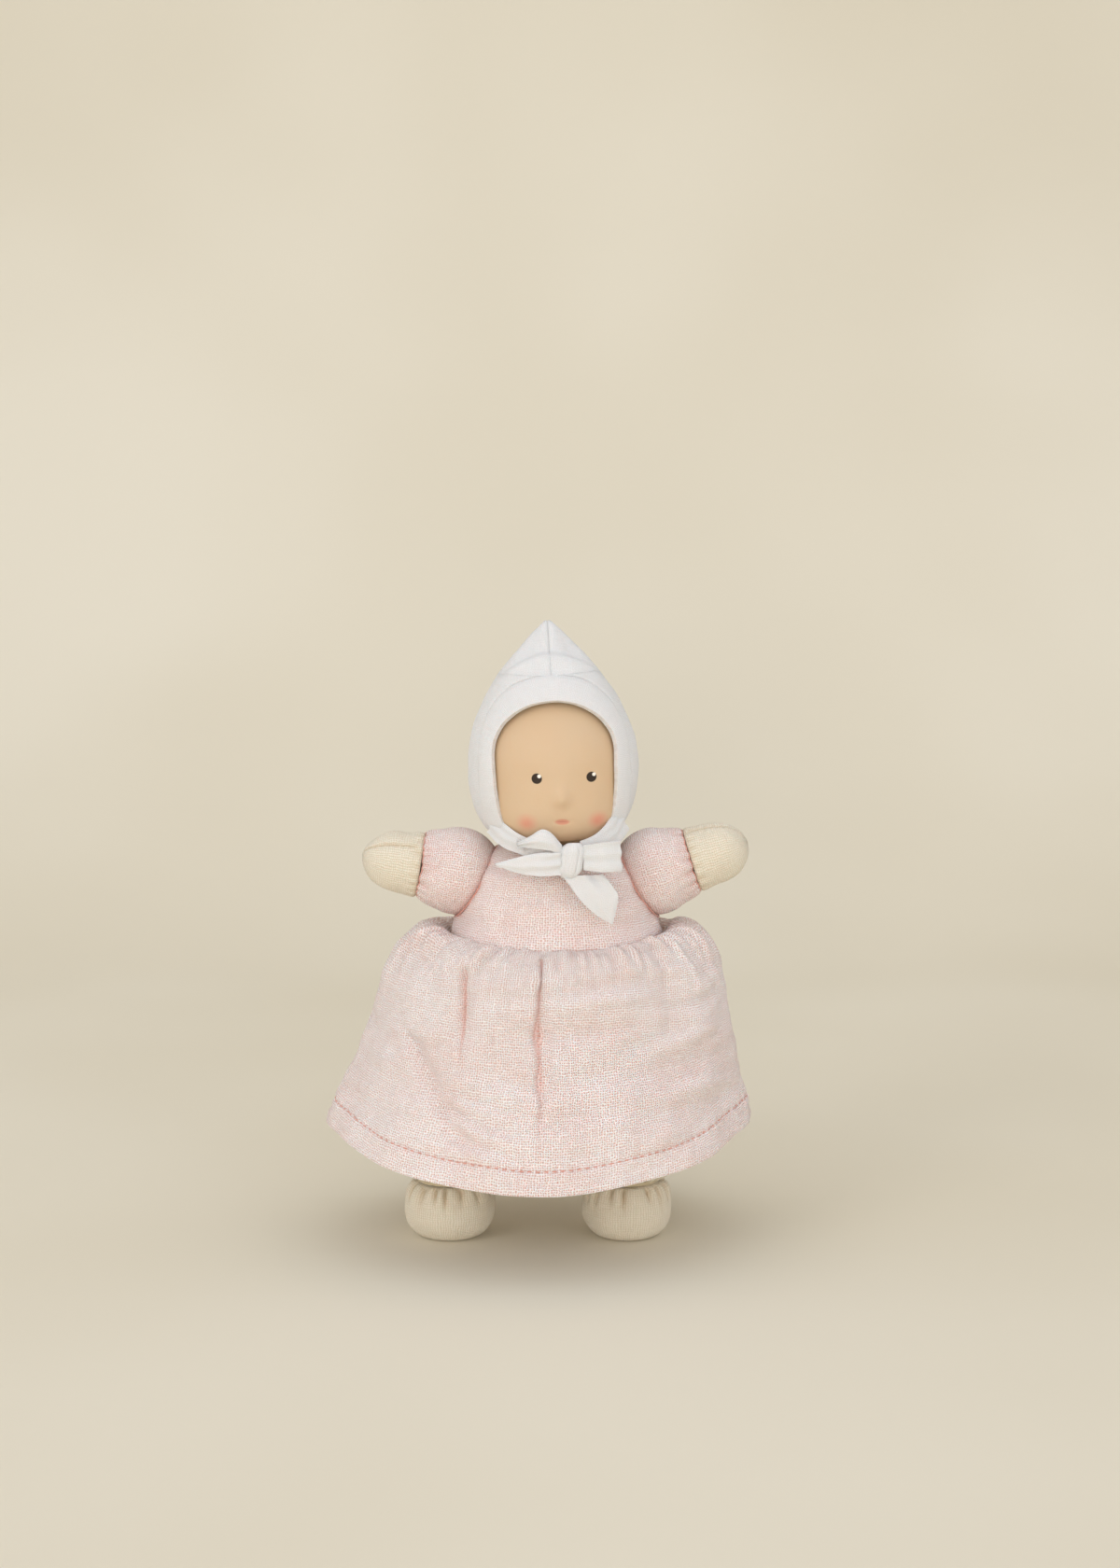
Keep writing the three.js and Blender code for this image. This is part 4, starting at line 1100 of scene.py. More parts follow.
@dataclass
class Skirt:
    """The gathered skirt with its turned-up hem.

    Attributes:
        shift: How far sideways the waist lies.
        waist_z: The waist's height.
        waist: The waist's half-widths, sideways and forward, as in the next ones.
        puff: How far the gathers stand out beyond it.
        puff_rise: How far they rise above it.
        puff_drop: How far below it they stand out most.
        hem: The hem's half-widths.
        drop: How far the hem hangs below the waist.
        wall: The cloth's thickness.
        hem_depth: How far up the hem is turned.
        hem_puff: How much thicker it is there.
        columns: Points round the skirt.
        rows: Rows above and in the part near the hem.
        hem_from: Where that part starts, as a share of the way down.
        hem_waves: Waves round the hem.
        hem_wave: Their depth.
        follow: How far round a crisp fold the columns follow it, in radians.
        stitch_rise: How far the stitches' middles stand off the cloth.
        pleats: The deep folds.
        flat: The flat cloth's width and length, in metres.
    """

    shift: float = 6.0
    waist_z: float = 98.0
    waist: Pair = (34.1, 28.1)
    puff: Pair = (21.1, 10.9)
    puff_rise: Pair = (6.5, 1.0)
    puff_drop: float = 13.0
    hem: Pair = (68.5, 58.5)
    drop: Pair = (59.0, 69.5)
    wall: float = 0.9
    hem_depth: float = 7.6
    hem_puff: float = 0.4
    columns: int = 480
    rows: tuple[int, int] = (66, 30)
    hem_from: float = 0.86
    hem_waves: int = 8
    hem_wave: float = 1.6
    follow: float = 0.12
    stitch_rise: float = 0.12
    pleats: list[Pleat] = field(default_factory=lambda: [
        Pleat(-97.8, -89.5, 0.22, 0.95, 3.2, 0.75, 3.6, sway=1.3),
        Pleat(-129.6, -113.0, 0.35, 0.74, 3.2, 0.75, 3.6, 0.2),
        Pleat(68, 66, 0.2, 0.9, 3.0, 1.3, 4.6),
        Pleat(107, 108, 0.2, 0.9, 3.0, 1.3, 4.6),
        Pleat(-206.9, -103.1, 0.58, 0.95, 2.8, 2.2, 5.0, 0.12),
        Pleat(-50, -44, 0.2, 0.8, 2.0, 5.5, 6.5),
        Pleat(30, 34, 0.1, 0.8, 2.6, 3.0, 5.0),
        Pleat(150, 146, 0.1, 0.8, 2.6, 3.0, 5.0),
        Pleat(-114, -118, 0.14, 0.44, 1.2, 0.5, 1.8),
        Pleat(-84, -82, 0.1, 0.36, 1.0, 0.5, 1.8),
    ])
    flat: Pair = (0.41, 0.088)

    def meridian(self, way: int, share: Array) -> Array:
        """The cloth's line from the waist over the gathers to the hem.

        Args:
            way: 0 for sideways, 1 for forward.
            share: Shares of the way down.

        Returns:
            Distances and heights.
        """
        waist, beyond, rise = self.waist[way], self.puff[way], self.puff_rise[way]
        out, hem = waist + beyond, self.hem[way]
        z, puff_z, hem_z = self.waist_z, self.waist_z - self.puff_drop, self.waist_z - self.drop[way]
        upper = bezier([(waist, z), (waist + 0.3 * beyond, z + 1.5 * rise),
                        (out - 0.12 * beyond, z + 0.6 * rise), (out, puff_z)], np.clip(2 * share, 0, 1))
        fall = puff_z - hem_z
        lower = bezier([(out, puff_z), (out + 0.1 * (hem - out), puff_z - 0.3 * fall),
                        (hem - 0.45 * (hem - out), puff_z - 0.65 * fall), (hem, hem_z)],
                       np.clip(2 * share - 1, 0, 1))
        return np.where(share[:, None] < 0.5, upper, lower)

    def drawn_in(self, angle: Array, share: Array, around: Array, room: Array) -> tuple[Array, Array]:
        """How far the gathers and pleats draw the cloth in.

        Args:
            angle: Angles of the points.
            share: Shares of the way down, one column.
            around: Half-width of the skirt, one column.
            room: How far the cloth stands out from the waist.

        Returns:
            The depths, and how deep in a crisp fold each point lies, for the painted shade in the folds.
        """
        fullness = 0.35 + 0.65 * np.abs(np.cos(angle)) ** 1.5
        ruffle = 1.3 * np.abs(np.sin(11 * angle + 1.4 * np.sin(3 * angle + 0.6))) ** 0.8
        ruffle = ruffle + 0.7 * np.abs(np.sin(19 * angle + 2 * np.sin(2 * angle)))
        depth = fullness * ruffle * smooth(0, 0.1, share) * smooth(0.62, 0.12, share)
        waves = (1 - np.cos(self.hem_waves * angle + 0.5 * np.sin(angle))) / 2
        depth = depth + self.hem_wave * share**2 * waves
        folded = np.zeros_like(room)
        for pleat in self.pleats:
            off = pleat.off(angle, share) * around
            shape = np.where(off < 0, hump(off, 0, pleat.steep), hump(off, 0, pleat.soft))
            reach = pleat.reach(share)
            depth = depth + pleat.depth * reach * shape
            # painted shade along the crisp folds' recesses
            if pleat.crisp():
                folded = folded + min(1, pleat.depth / 3) * reach * hump(off, 0.1, 0.5)
        return np.minimum(depth, 0.55 * room), folded

    def angles(self, down: Array) -> Array:
        """Angles of the columns, from the back round; near a crisp fold they follow it.

        Args:
            down: Shares of the way down, one column.

        Returns:
            Rows by columns.
        """
        angle = np.linspace(np.pi / 2, 5 * np.pi / 2, self.columns, endpoint=False)[None]
        for pleat in filter(Pleat.crisp, self.pleats):
            rest = pleat.middle(np.array((pleat.start + pleat.end) / 2))
            aside = pleat.middle(np.clip(down, pleat.start, pleat.end)) - rest
            angle = angle + aside * hump(wrapped(angle - rest), 0, self.follow)
        return angle

    def mapped(self, skirt: Surface) -> None:
        """Lays the flat cloth so that its threads run true at the front's middle.

        Args:
            skirt: The skirt; its cloth is changed.
        """
        p = skirt.points
        apart = np.linalg.norm(np.diff(p, axis=1, append=p[:, :1]), axis=2)
        along = np.concatenate([np.zeros((len(p), 1)), np.cumsum(apart, axis=1)], axis=1)
        full = along[:, -1:]
        skirt.cloth[..., 0] = (along - along[:, self.columns // 2, None]) * (full.max() / full) ** 0.4

    def gathers(self, angle: Array, down: Array) -> Array:
        """Fine gathers that run down from the waist.

        Args:
            angle: Angles of the points.
            down: Shares of the way down, one column.

        Returns:
            Their heights.
        """
        c, s = np.cos(angle), np.sin(angle)
        streaks = np.stack(np.broadcast_arrays(60 * c, 60 * s, 14 * down), -1)
        height = (1.5 + smooth(0, -0.7, s)) * grain(streaks, 4.0, 23)
        return height * smooth(0.06, 0.16, down) * smooth(0.6, 0.24, down)

    def wrinkles(self, points: Array, angle: Array, down: Array) -> Array:
        """Soft lumps all over, wrinkles across the sides and the back, and creases low at the front.

        Args:
            points: The skirt's points.
            angle: Their angles.
            down: Shares of the way down, one column.

        Returns:
            Their heights.
        """
        c, s = np.cos(angle), np.sin(angle)
        turn = np.degrees(wrapped(angle))
        lumps = 1.3 * grain(points, 17.0, 3) + 0.7 * grain(points, 8.0, 5)
        around = np.stack(np.broadcast_arrays(13 * c, 13 * s, 88 * down + 3.5 * c), -1)
        wrinkled = hump(turn, -48, 42) + 0.3 * smooth(-100, -130, turn) + 0.5 * smooth(0.2, 0.6, s)
        wrinkled = wrinkled * smooth(0.3, 0.5, down) * smooth(1.0, 0.88, down)
        creases = wrinkled * (3.6 * grain(around, 6.5, 12) + 1.7 * grain(around, 3.8, 15))
        level = points[..., 2] + 0.3 * points[..., 0] + 2.5 * grain(points, 16.0, 17)
        low = hump(turn, -110, 14) * smooth(0.62, 0.75, down) * smooth(0.98, 0.9, down)
        bunch = 1.2 * hump(turn, -150, 14) * (hump(down, 0.24, 0.06) - hump(down, 0.36, 0.06))
        creases += 1.3 * np.sin(level * math.tau / 7.5) * low * (0.6 + 0.7 * grain(points, 18.0, 19)) + bunch
        return smooth(0.05, 0.3, down) * (lumps + creases)

    def surface(self) -> tuple[Surface, Array]:
        """The skirt's outside and its hem stitches' line.

        Returns:
            The surface and the line's points.
        """
        share = np.concatenate([np.linspace(0, self.hem_from, self.rows[0], endpoint=False),
                                np.linspace(self.hem_from, 1, self.rows[1])])
        side, front = self.meridian(0, share), self.meridian(1, share)
        down = share[:, None]
        angle = self.angles(down)
        c, s = np.cos(angle), np.sin(angle)
        room = (side[:, :1] - self.waist[0]) * c**2 + (front[:, :1] - self.waist[1]) * s**2
        drawn, folded = self.drawn_in(angle, down, side[:, :1], room)
        x = self.shift * (1 - down**2) + (side[:, :1] - drawn) * c
        y = (front[:, :1] - drawn) * s
        z = side[:, 1:] * c**2 + front[:, 1:] * s**2
        skirt = ring_surface(np.stack([x, y, z], -1), np.array([self.shift, 0.0, 60.0]))
        self.mapped(skirt)
        step = np.linalg.norm(np.diff(skirt.points, axis=0), axis=2)
        left = np.concatenate([np.cumsum(step[::-1], axis=0)[::-1], np.zeros((1, self.columns))])
        band = smooth(self.hem_depth, self.hem_depth - 0.8, left) * smooth(-0.2, 1.2, left)
        seam = self.hem_depth + 0.2
        groove = hump(left, seam, 0.7)
        pucker = 0.25 * np.sin(angle * 77) * hump(left, self.hem_depth, 2.2)
        height = self.wrinkles(skirt.points, angle, down) + self.gathers(angle, down)
        height = height + self.hem_puff * band - 0.5 * groove + pucker
        # painted shade in the hem's seam groove, with the folds' shade
        skirt = replace(skirt.raised(height), folded=folded + 0.12 * groove)
        outer = skirt.points + skirt.normals() * self.stitch_rise
        line = np.array([[np.interp(seam, left[::-1, k], outer[::-1, k, i]) for i in range(3)]
                         for k in range(self.columns)])
        return skirt, line

    def build(self) -> None:
        """Makes the skirt and its hem stitches."""
        skirt, line = self.surface()
        cloth = make_piece("skirt_cloth", skirt, GAUZE, self.wall)
        attach(cloth, Body.TORSO, "pink_gauze", "skirt")
        stitches = StitchRow(pitch=2.6, length=1.5, thread=0.42).sew("hem_stitches", line, CORAL)
        attach(stitches, Body.TORSO, "thread")
        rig.sheet(cloth, flat=self.flat, held="gathered", rests_on=["bodice"], with_pieces=[stitches])


@dataclass
class Trunk:
    """The bodice and the cotton seat under the skirt; pairs are sideways and forward, or a distance and a height."""

    shift: float = 6.0
    waist_z: float = 98.0
    waist: Pair = (33.8, 27.8)
    height: float = 30.7
    aim: Pair = (26.0, 20.0)
    neckline: Pair = (14.03, 13.23)
    tuck: float = 3.0
    neck_cup: float = 6.0
    shoulder: Pair = (31.5, 119.2)
    shoulder_dish: float = 14.2
    thread_rise: float = 0.45
    hip: Pair = (17.0, 60.0)
    hip_dish: float = 13.95
    seat_z: float = 64.0
    seat: Pair = (32.9, 22.5)
    columns: int = 256

    def lines(self) -> list[Array]:
        """The bodice's outlines from the waist up.

        Returns:
            Distances and heights, first sideways and then forward.
        """
        z, lift, t = self.waist_z, self.height, np.linspace(0, 1, 84)
        return [bezier([(waist, z), (0.96 * waist, z + 0.45 * lift), (aim, z + 0.96 * lift), (neck, z + lift)], t)
                for waist, aim, neck in zip(self.waist, self.aim, self.neckline)]

    def outside(self, points: Array) -> Array:
        """Roughly how far points lie outside the bodice.

        Args:
            points: The points.

        Returns:
            Their distances, below 0 inside.
        """
        side, front = (np.interp(points[..., 2], line[:, 1], line[:, 0], right=0.01) for line in self.lines())
        share = np.hypot((points[..., 0] - self.shift) / side, points[..., 1] / front)
        return (share - 1) * side

    def shoulder_at(self, sign: int) -> Array:
        """The middle of a shoulder."""
        return np.array([self.shift + sign * self.shoulder[0], 0.0, self.shoulder[1]])

    def armhole(self, sign: int) -> Array:
        """The line along which a sleeve leaves the bodice.

        Args:
            sign: 1 for the left sleeve, -1 for the right.

        Returns:
            The closed line's points.
        """
        around = np.linspace(0, math.tau, 120, endpoint=False)[:, None]
        away = np.linspace(0.05, math.pi - 0.05, 400)[None]
        aside = np.sin(away)
        way = np.stack(np.broadcast_arrays(sign * np.cos(away), aside * np.cos(around), aside * np.sin(around)), -1)
        points = self.shoulder_at(sign) + (self.shoulder_dish + self.thread_rise) * way
        first = np.argmax(self.outside(points) < 0, axis=1)
        line = points[np.arange(len(points)), first]
        return (np.roll(line, 1, 0) + line + np.roll(line, -1, 0)) / 3

    def dished(self, points: Array, normals: Array) -> Array:
        """Presses the shoulders' dishes into the bodice.

        Args:
            points: The bodice's points.
            normals: Their outward directions.

        Returns:
            The pressed points.
        """
        made = points.copy()
        for sign in (1, -1):
            away = made - self.shoulder_at(sign)
            along = np.sum(away * normals, -1)
            room = self.shoulder_dish**2 - np.sum(away**2, -1) + along**2
            inside = np.linalg.norm(away, axis=-1) < self.shoulder_dish
            press = np.where(inside, along + np.sqrt(np.maximum(room, 0)), 0)
            made -= normals * press[..., None]
        return made

    def bodice(self) -> Surface:
        """The bodice's outside from under the waist seam to the neckline.

        Returns:
            The surface, with the sleeves' dishes pressed in.
        """
        z, lift = self.waist_z, self.height
        lines = []
        for waist, line in zip(self.waist, self.lines()):
            tucked = np.stack([np.full(6, waist - 0.5), np.linspace(z - self.tuck, z - 0.4, 6)], -1)
            neck, top = line[-1]
            cup = [(neck - 0.6, top - 0.6), (neck - 0.9, top - 2.5), (neck - 1.0, top - self.neck_cup)]
            lines.append(np.vstack([tucked, line, cup]))
        rows = rings(lines[0], self.columns, lines[1], self.shift)
        made = ring_surface(rows, np.array([self.shift, 0.0, z + 0.4 * lift]))
        p = made.points
        height = p[..., 2] - z
        free = smooth(0, 6, height) * smooth(lift, lift - 5, height)
        lumps = 0.8 * grain(p, 15.0, 31) + 0.35 * grain(p, 6.0, 33)
        across = np.sin((p[..., 2] + 2.5 * grain(p, 18.0, 37)) * math.tau / 9.0)
        front = smooth(0, -18, p[..., 1])
        full = 1.3 * hump(height, 1.0, 2.6) * smooth(8, 22, np.abs(p[..., 1]))
        made = made.raised(free * (lumps + 0.3 * across * front) + full)
        gathers = np.abs(np.sin(np.linspace(0, math.tau * 13, self.columns)))[None]
        made = made.raised(0.4 * gathers * smooth(5.0, 0.5, height))
        made = made.moved(self.dished(made.points, made.normals()))
        # painted shade in the creases round the sleeves' dishes and along the waist seam
        away = [np.linalg.norm(made.points - self.shoulder_at(sign), axis=-1) for sign in (1, -1)]
        folded = sum(0.55 * hump(d, self.shoulder_dish, 1.5) for d in away)
        folded = folded + 0.3 * hump(made.points[..., 2], z, 0.8)
        return replace(made, folded=folded)

    def seat_surface(self) -> Surface:
        """The cotton seat, with a dish for each hip in its underside.

        Returns:
            The surface, from the underside's middle out and up to the waist.
        """
        share = np.linspace(0.02, 1, 26)[:, None]
        angle = turns(self.columns)
        x = self.shift + self.seat[0] * share * np.cos(angle)
        y = self.seat[1] * share * np.sin(angle)
        z = np.full_like(x, self.seat_z)
        for sign in (1, -1):
            room = self.hip_dish**2 - (x - self.shift - sign * self.hip[0]) ** 2 - y**2
            z = np.maximum(z, self.hip[1] + np.sqrt(np.maximum(room, 0)))
        under = np.stack([x, y, z], -1)
        rise = np.linspace(0.03, 1, 24)
        height = self.seat_z + (self.waist_z - 0.3 - self.seat_z) * rise
        side, front = (np.stack([seat + (waist - 0.8 - seat) * rise, height], -1)
                       for seat, waist in zip(self.seat, self.waist))
        around = rings(side, self.columns, front, self.shift)
        made = ring_surface(np.vstack([under, around]), np.array([self.shift, 0.0, 85.0]))
        height = made.points[..., 2] - self.seat_z
        return made.raised(0.5 * grain(made.points, 10.0, 41) * smooth(2, 8, height))

    def build(self) -> None:
        """Makes the bodice and the seat."""
        bodice = make_piece("bodice", self.bodice(), GAUZE)
        attach(bodice, Body.TORSO, "pink_gauze", "bodice_front", "bodice_back", "torso_filling")
        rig.padded(bodice, fill=0.8)
        for side in Side:
            thread = cord_surface(self.armhole(side.value), 0.22)
            seam = make_piece(f"{side.label}_armhole_thread", thread, CORAL)
            attach(seam, Body.TORSO, "thread")
        seat = attach(make_piece("seat", self.seat_surface(), JERSEY), Body.TORSO, "cream_cotton", "seat_cover")
        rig.padded(seat, fill=0.8)


@dataclass
class Arm:
    """A short puffed sleeve and a stuffed mitten hand, built along +Z from the shoulder.

    The lift is from level, the seam's turn is from the top, and a tuck has a place round the wrist and a length, with
    turns and places in degrees.
    """

    side: Side
    lift: float
    seam_turn: float
    shift: float = 6.0
    spread: float = 31.5
    shoulder_z: float = 119.2
    radius: float = 14.0
    sleeve_length: float = 11.7
    wrist: float = 10.0
    hand: float = 9.8
    hand_length: float = 19.2
    hand_tip: float = 12.0
    tucks: tuple[Pair, ...] = ((-118, 5.0), (-80, 6.5), (-52, 4.5), (60, 6.0), (110, 5.0))
    puff_rows: int = 60
    hand_rows: int = 64
    columns: int = 96

    def placed(self, points: Array) -> Array:
        """Arm points in the doll's frame.

        Args:
            points: Points along the arm's own +Z.

        Returns:
            The same points on the doll.
        """
        sign = self.side.value
        turned_out = turned(points, "y", sign * (math.pi / 2 - math.radians(self.lift)))
        return turned_out + np.array([self.shift + sign * self.spread, 0.0, self.shoulder_z])

    def sleeve_surface(self, trunk: Trunk) -> Surface:
        """The sleeve with gathers at the wrist seam and at the armhole.

        Args:
            trunk: The bodice that it leaves.

        Returns:
            The sleeve's outside.
        """
        length, angle = self.sleeve_length, turns(self.columns)
        cap = bow_of((0, 0), (self.radius, self.radius), (math.radians(-70), math.radians(14)), 40)
        tube = bezier([cap[-1], (cap[-1, 0] - 0.1 * length, cap[-1, 1] + 0.25 * length),
                       (self.wrist + 0.12 * length, 0.85 * length), (self.wrist, length)], np.linspace(0, 1, 24))
        puff = evenly(np.vstack([cap[:-1], tube]), self.puff_rows)
        tucked = np.array([[self.wrist - 0.4, length + 0.12], [self.wrist - 2.0, length + 0.14]])
        made = ring_surface(rings(np.vstack([puff, tucked]), self.columns))
        p, z = made.points, made.points[..., 2]
        free = smooth(1.0, 5.0, z)
        near = smooth(length - 7, length, z) * smooth(length + 0.5, length - 0.6, z)
        ruffle = np.abs(np.sin(8.5 * angle + 1.2 * np.sin(2 * angle + self.side.value))) ** 0.7
        lumps = 0.7 * grain(p, 9.0, 50 + self.side.value) + 0.35 * grain(p, 4.5, 54)
        tucks = free * sum(hump((angle - math.radians(at)) * self.wrist, 0, 0.5) * smooth(length - up, length - 1, z)
                           for at, up in self.tucks)
        made = made.raised(free * lumps + near * (0.9 * ruffle - 0.35) - 0.5 * tucks)
        placed = self.placed(made.points)
        # painted shade where the sleeve meets the bodice, in the wrist gathers' valleys and in the tucks
        folded = 0.55 * hump(trunk.outside(placed), 0, 1.6) + near**3 * (0.15 + 0.25 * (1 - ruffle))
        return replace(made, points=placed, folded=folded + 0.35 * tucks)

    def hand_surface(self) -> Surface:
        """The mitten with its seam along the top and puckers at the wrist.

        Returns:
            The mitten's outside, placed on the doll.
        """
        start, tip = self.sleeve_length + 0.3, self.sleeve_length + self.hand_length
        shaft = [(self.wrist - 2.2, start - 0.12), (self.wrist - 0.6, start - 0.1), (self.wrist - 0.1, start + 0.5),
                 (self.hand + 0.2, start + 3.0), (self.hand, tip - self.hand_tip)]
        end = bow_of((0, tip - self.hand_tip), (self.hand, self.hand_tip), (0, math.radians(87)), 40)
        line = evenly(np.vstack([softened(shaft, 40)[:-1], end]), self.hand_rows)
        made = ring_surface(rings(line, self.columns))
        p, angle = made.points, turns(self.columns)
        top = math.pi if self.side is Side.LEFT else 0.0
        off = wrapped(angle - top - math.radians(self.seam_turn))
        along = p[..., 2] - start
        seam = hump(off * self.hand, 0, 0.55) * smooth(0.5, 3.0, along)
        pinch = 0.1 * np.sin(along * math.tau / 2.3) * hump(off * self.hand, 0, 2.0)
        ruffle = np.abs(np.sin(9 * angle + 0.8 * np.sin(3 * angle)))
        puckers = 0.55 * ruffle * smooth(5.5, 0.8, along) * smooth(0.1, 0.9, along)
        lumps = 0.45 * grain(p, 8.0, 60 + self.side.value) * smooth(2.0, 6.0, along)
        made = made.raised(lumps + puckers - 0.55 * seam + pinch)
        # painted shade in the top seam's groove and between the wrist puckers
        folded = 0.6 * seam + 0.4 * (1 - ruffle) * smooth(4.0, 0.6, along)
        return replace(made, points=self.placed(made.points), folded=folded)

    def build(self, trunk: Trunk, stuffing: Stuffing) -> None:
        """Makes the sleeve, the hand and the seam between them.

        Args:
            trunk: The bodice that the sleeve leaves.
            stuffing: Swells them.
        """
        name, body = self.side.label, Body[f"{self.side.name}_ARM"]
        sewn = self.sleeve_surface(trunk)
        seam = make_piece(f"{name}_wrist_thread", cord_surface(sewn.points[self.puff_rows - 1], 0.2), CORAL)
        attach(seam, body, "thread")
        sleeve = make_piece(f"{name}_sleeve_puff", sewn, GAUZE)
        stuffing.fill(sleeve, self.columns, (36, self.puff_rows - 2))
        attach(sleeve, body, "pink_gauze", f"{name}_sleeve", f"{name}_arm_filling")
        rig.padded(sleeve, fill=0.7)
        hand = make_piece(f"{name}_mitten", self.hand_surface(), JERSEY)
        stuffing.fill(hand, self.columns, (6, self.hand_rows))
        attach(hand, body, "cream_cotton", f"{name}_hand")
        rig.padded(hand, fill=0.8)


@dataclass
class Leg:
    """A puffed cotton leg drawn in by a thread over a ball foot; the crease is in degrees below the hip."""

    side: Side
    shift: float = 6.0
    foot_spread: float = 28.7
    hip_spread: float = 17.0
    sole: float = 7.8
    foot: float = 14.6
    belly: float = 9.0
    foot_height: float = 18.0
    ankle: float = 10.6
    thread: float = 1.2
    gap: float = 0.3
    calf: float = 17.0
    calf_rise: float = 8.5
    hip: float = 13.5
    hip_z: float = 60.0
    crease: float = 34.0
    columns: int = 160

    @property
    def bottom(self) -> float:
        """Height of the leg's drawn end."""
        return self.foot_height + self.thread + 2 * self.gap

    def foot_surface(self) -> Surface:
        """The foot with gathers under the ankle and a seam down its inner side.

        Returns:
            The foot's outside, from the sole up.
        """
        sole = np.stack([np.linspace(0.4, self.sole, 10), np.zeros(10)], -1)
        low = bow_of((self.sole, self.belly), (self.foot - self.sole, self.belly), (-math.pi / 2, 0), 30)
        high = bow_of((self.ankle, self.belly), (self.foot - self.ankle, self.foot_height - self.belly),
                      (0, math.pi / 2), 30)
        end = [(self.ankle - 1.2, self.foot_height + 0.25), (self.ankle - 3.0, self.foot_height + 0.3)]
        line = np.vstack([sole, evenly(np.vstack([low[1:], high[1:]]), 56), end])
        made = ring_surface(rings(line, self.columns, middle=self.side.value * self.foot_spread))
        p, angle = made.points, turns(self.columns)
        wander = angle + 0.1 * np.sin(3 * angle + self.side.value) + 0.05 * np.sin(7 * angle)
        folds = np.abs(np.sin(8 * wander)) ** 0.6
        reach = 2.0 + 4.0 * np.sin(3.5 * angle + 0.7) ** 2 + 1.5 * np.sin(8 * wander + 1) ** 2
        under = self.foot_height - p[..., 2]
        drawn = smooth(reach + 3.5, 0.8, under) * smooth(-0.2, 0.5, under)
        gathers = 2.0 * (folds - 0.7) * drawn
        inner = math.pi if self.side is Side.LEFT else 0.0
        off = wrapped(angle - inner + 0.3 * self.side.value)
        seam = 0.5 * hump(off * self.foot, 0, 0.5) * smooth(0.5, 3.0, p[..., 2])
        lumps = 0.5 * grain(p, 9.0, 70 + self.side.value) * smooth(0.5, 4.0, p[..., 2])
        made = made.raised(gathers + lumps - seam)
        made.points[..., 2] = np.maximum(made.points[..., 2], 0)
        # painted shade between the gathers under the ankle and in the seam's groove
        return replace(made, folded=0.7 * drawn * (1 - folds) + 0.3 * seam)

    def leg_surface(self) -> Surface:
        """The leg from its drawn end to the ball that turns in the seat.

        Returns:
            The leg's outside.
        """
        calf_z = self.bottom + self.calf_rise
        a = math.radians(self.crease)
        crease = (self.hip * math.cos(a), self.hip_z - self.hip * math.sin(a))
        low = bow_of((self.ankle, calf_z), (self.calf - self.ankle, self.calf_rise), (-math.pi / 2, 0), 24)
        rise = crease[1] - calf_z
        mid = bezier([(self.calf, calf_z), (self.calf, calf_z + 0.4 * rise),
                      (crease[0] + 0.6 * (self.calf - crease[0]), crease[1] - 0.15 * rise), crease],
                     np.linspace(0, 1, 24))
        ball = bow_of((0, self.hip_z), (self.hip, self.hip), (-a, math.radians(85)), 30)
        end = [(self.ankle - 3.0, self.bottom - 0.3), (self.ankle - 1.2, self.bottom - 0.25)]
        line = np.vstack([end, evenly(np.vstack([low, mid[1:], ball[1:]]), 72)])
        share = smooth(self.bottom, self.hip_z - self.hip, line[:, 1])
        foot, hip = self.side.value * self.foot_spread, self.shift + self.side.value * self.hip_spread
        made = ring_surface(rings(line, self.columns, middle=foot + (hip - foot) * share))
        p, angle = made.points, turns(self.columns)
        folds = np.abs(np.sin(10.5 * (angle + 0.12 * np.sin(2 * angle + 1.0)))) ** 0.6
        above = p[..., 2] - self.bottom
        drawn = smooth(8.0, 1.0, above) * smooth(-0.2, 0.6, above)
        gathers = 1.5 * (folds - 0.75) * drawn
        free = smooth(0.5, 4.0, above) * smooth(crease[1] - 2, crease[1] - 10, p[..., 2])
        made = made.raised(gathers + 0.9 * free * grain(p, 10.0, 80 + self.side.value))
        # painted shade between the gathers at the drawn end
        return replace(made, folded=0.6 * drawn * (1 - folds))

    def build(self, stuffing: Stuffing) -> None:
        """Makes the foot, the leg and the thread.

        Args:
            stuffing: Swells the foot and the leg.
        """
        name, body = self.side.label, Body[f"{self.side.name}_LEG"]
        foot = make_piece(f"{name}_foot", self.foot_surface(), JERSEY)
        stuffing.fill(foot, self.columns, (14, 64))
        attach(foot, body, "cream_cotton", f"{name}_foot_cover")
        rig.padded(foot, fill=0.9)
        leg = make_piece(f"{name}_leg_puff", self.leg_surface(), JERSEY)
        stuffing.fill(leg, self.columns, (5, 40))
        attach(leg, body, "cream_cotton", f"{name}_leg_cover", f"{name}_leg_filling")
        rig.padded(leg, fill=0.7)
        dye(f"{name}_ankle_thread", CREAM)


@dataclass
class HeadFrame:
    """Where the head and the bonnet sit."""

    shift: float = 6.0
    neck_z: float = 123.5
    tilt: float = -2.2
    turn: float = 5.5
    bonnet_turn: float = -3.5

    def head(self, points: Array) -> Array:
        """Head points in the doll's frame."""
        return self.neck(turned(points, "z", math.radians(self.turn)))

    def bonnet(self, points: Array) -> Array:
        """Bonnet points in the doll's frame."""
        return self.neck(turned(points, "z", math.radians(self.turn + self.bonnet_turn)))

    def neck(self, points: Array) -> Array:
        """Neck points in the doll's frame."""
        return turned(points, "y", math.radians(self.tilt)) + np.array([self.shift, 0.0, self.neck_z])


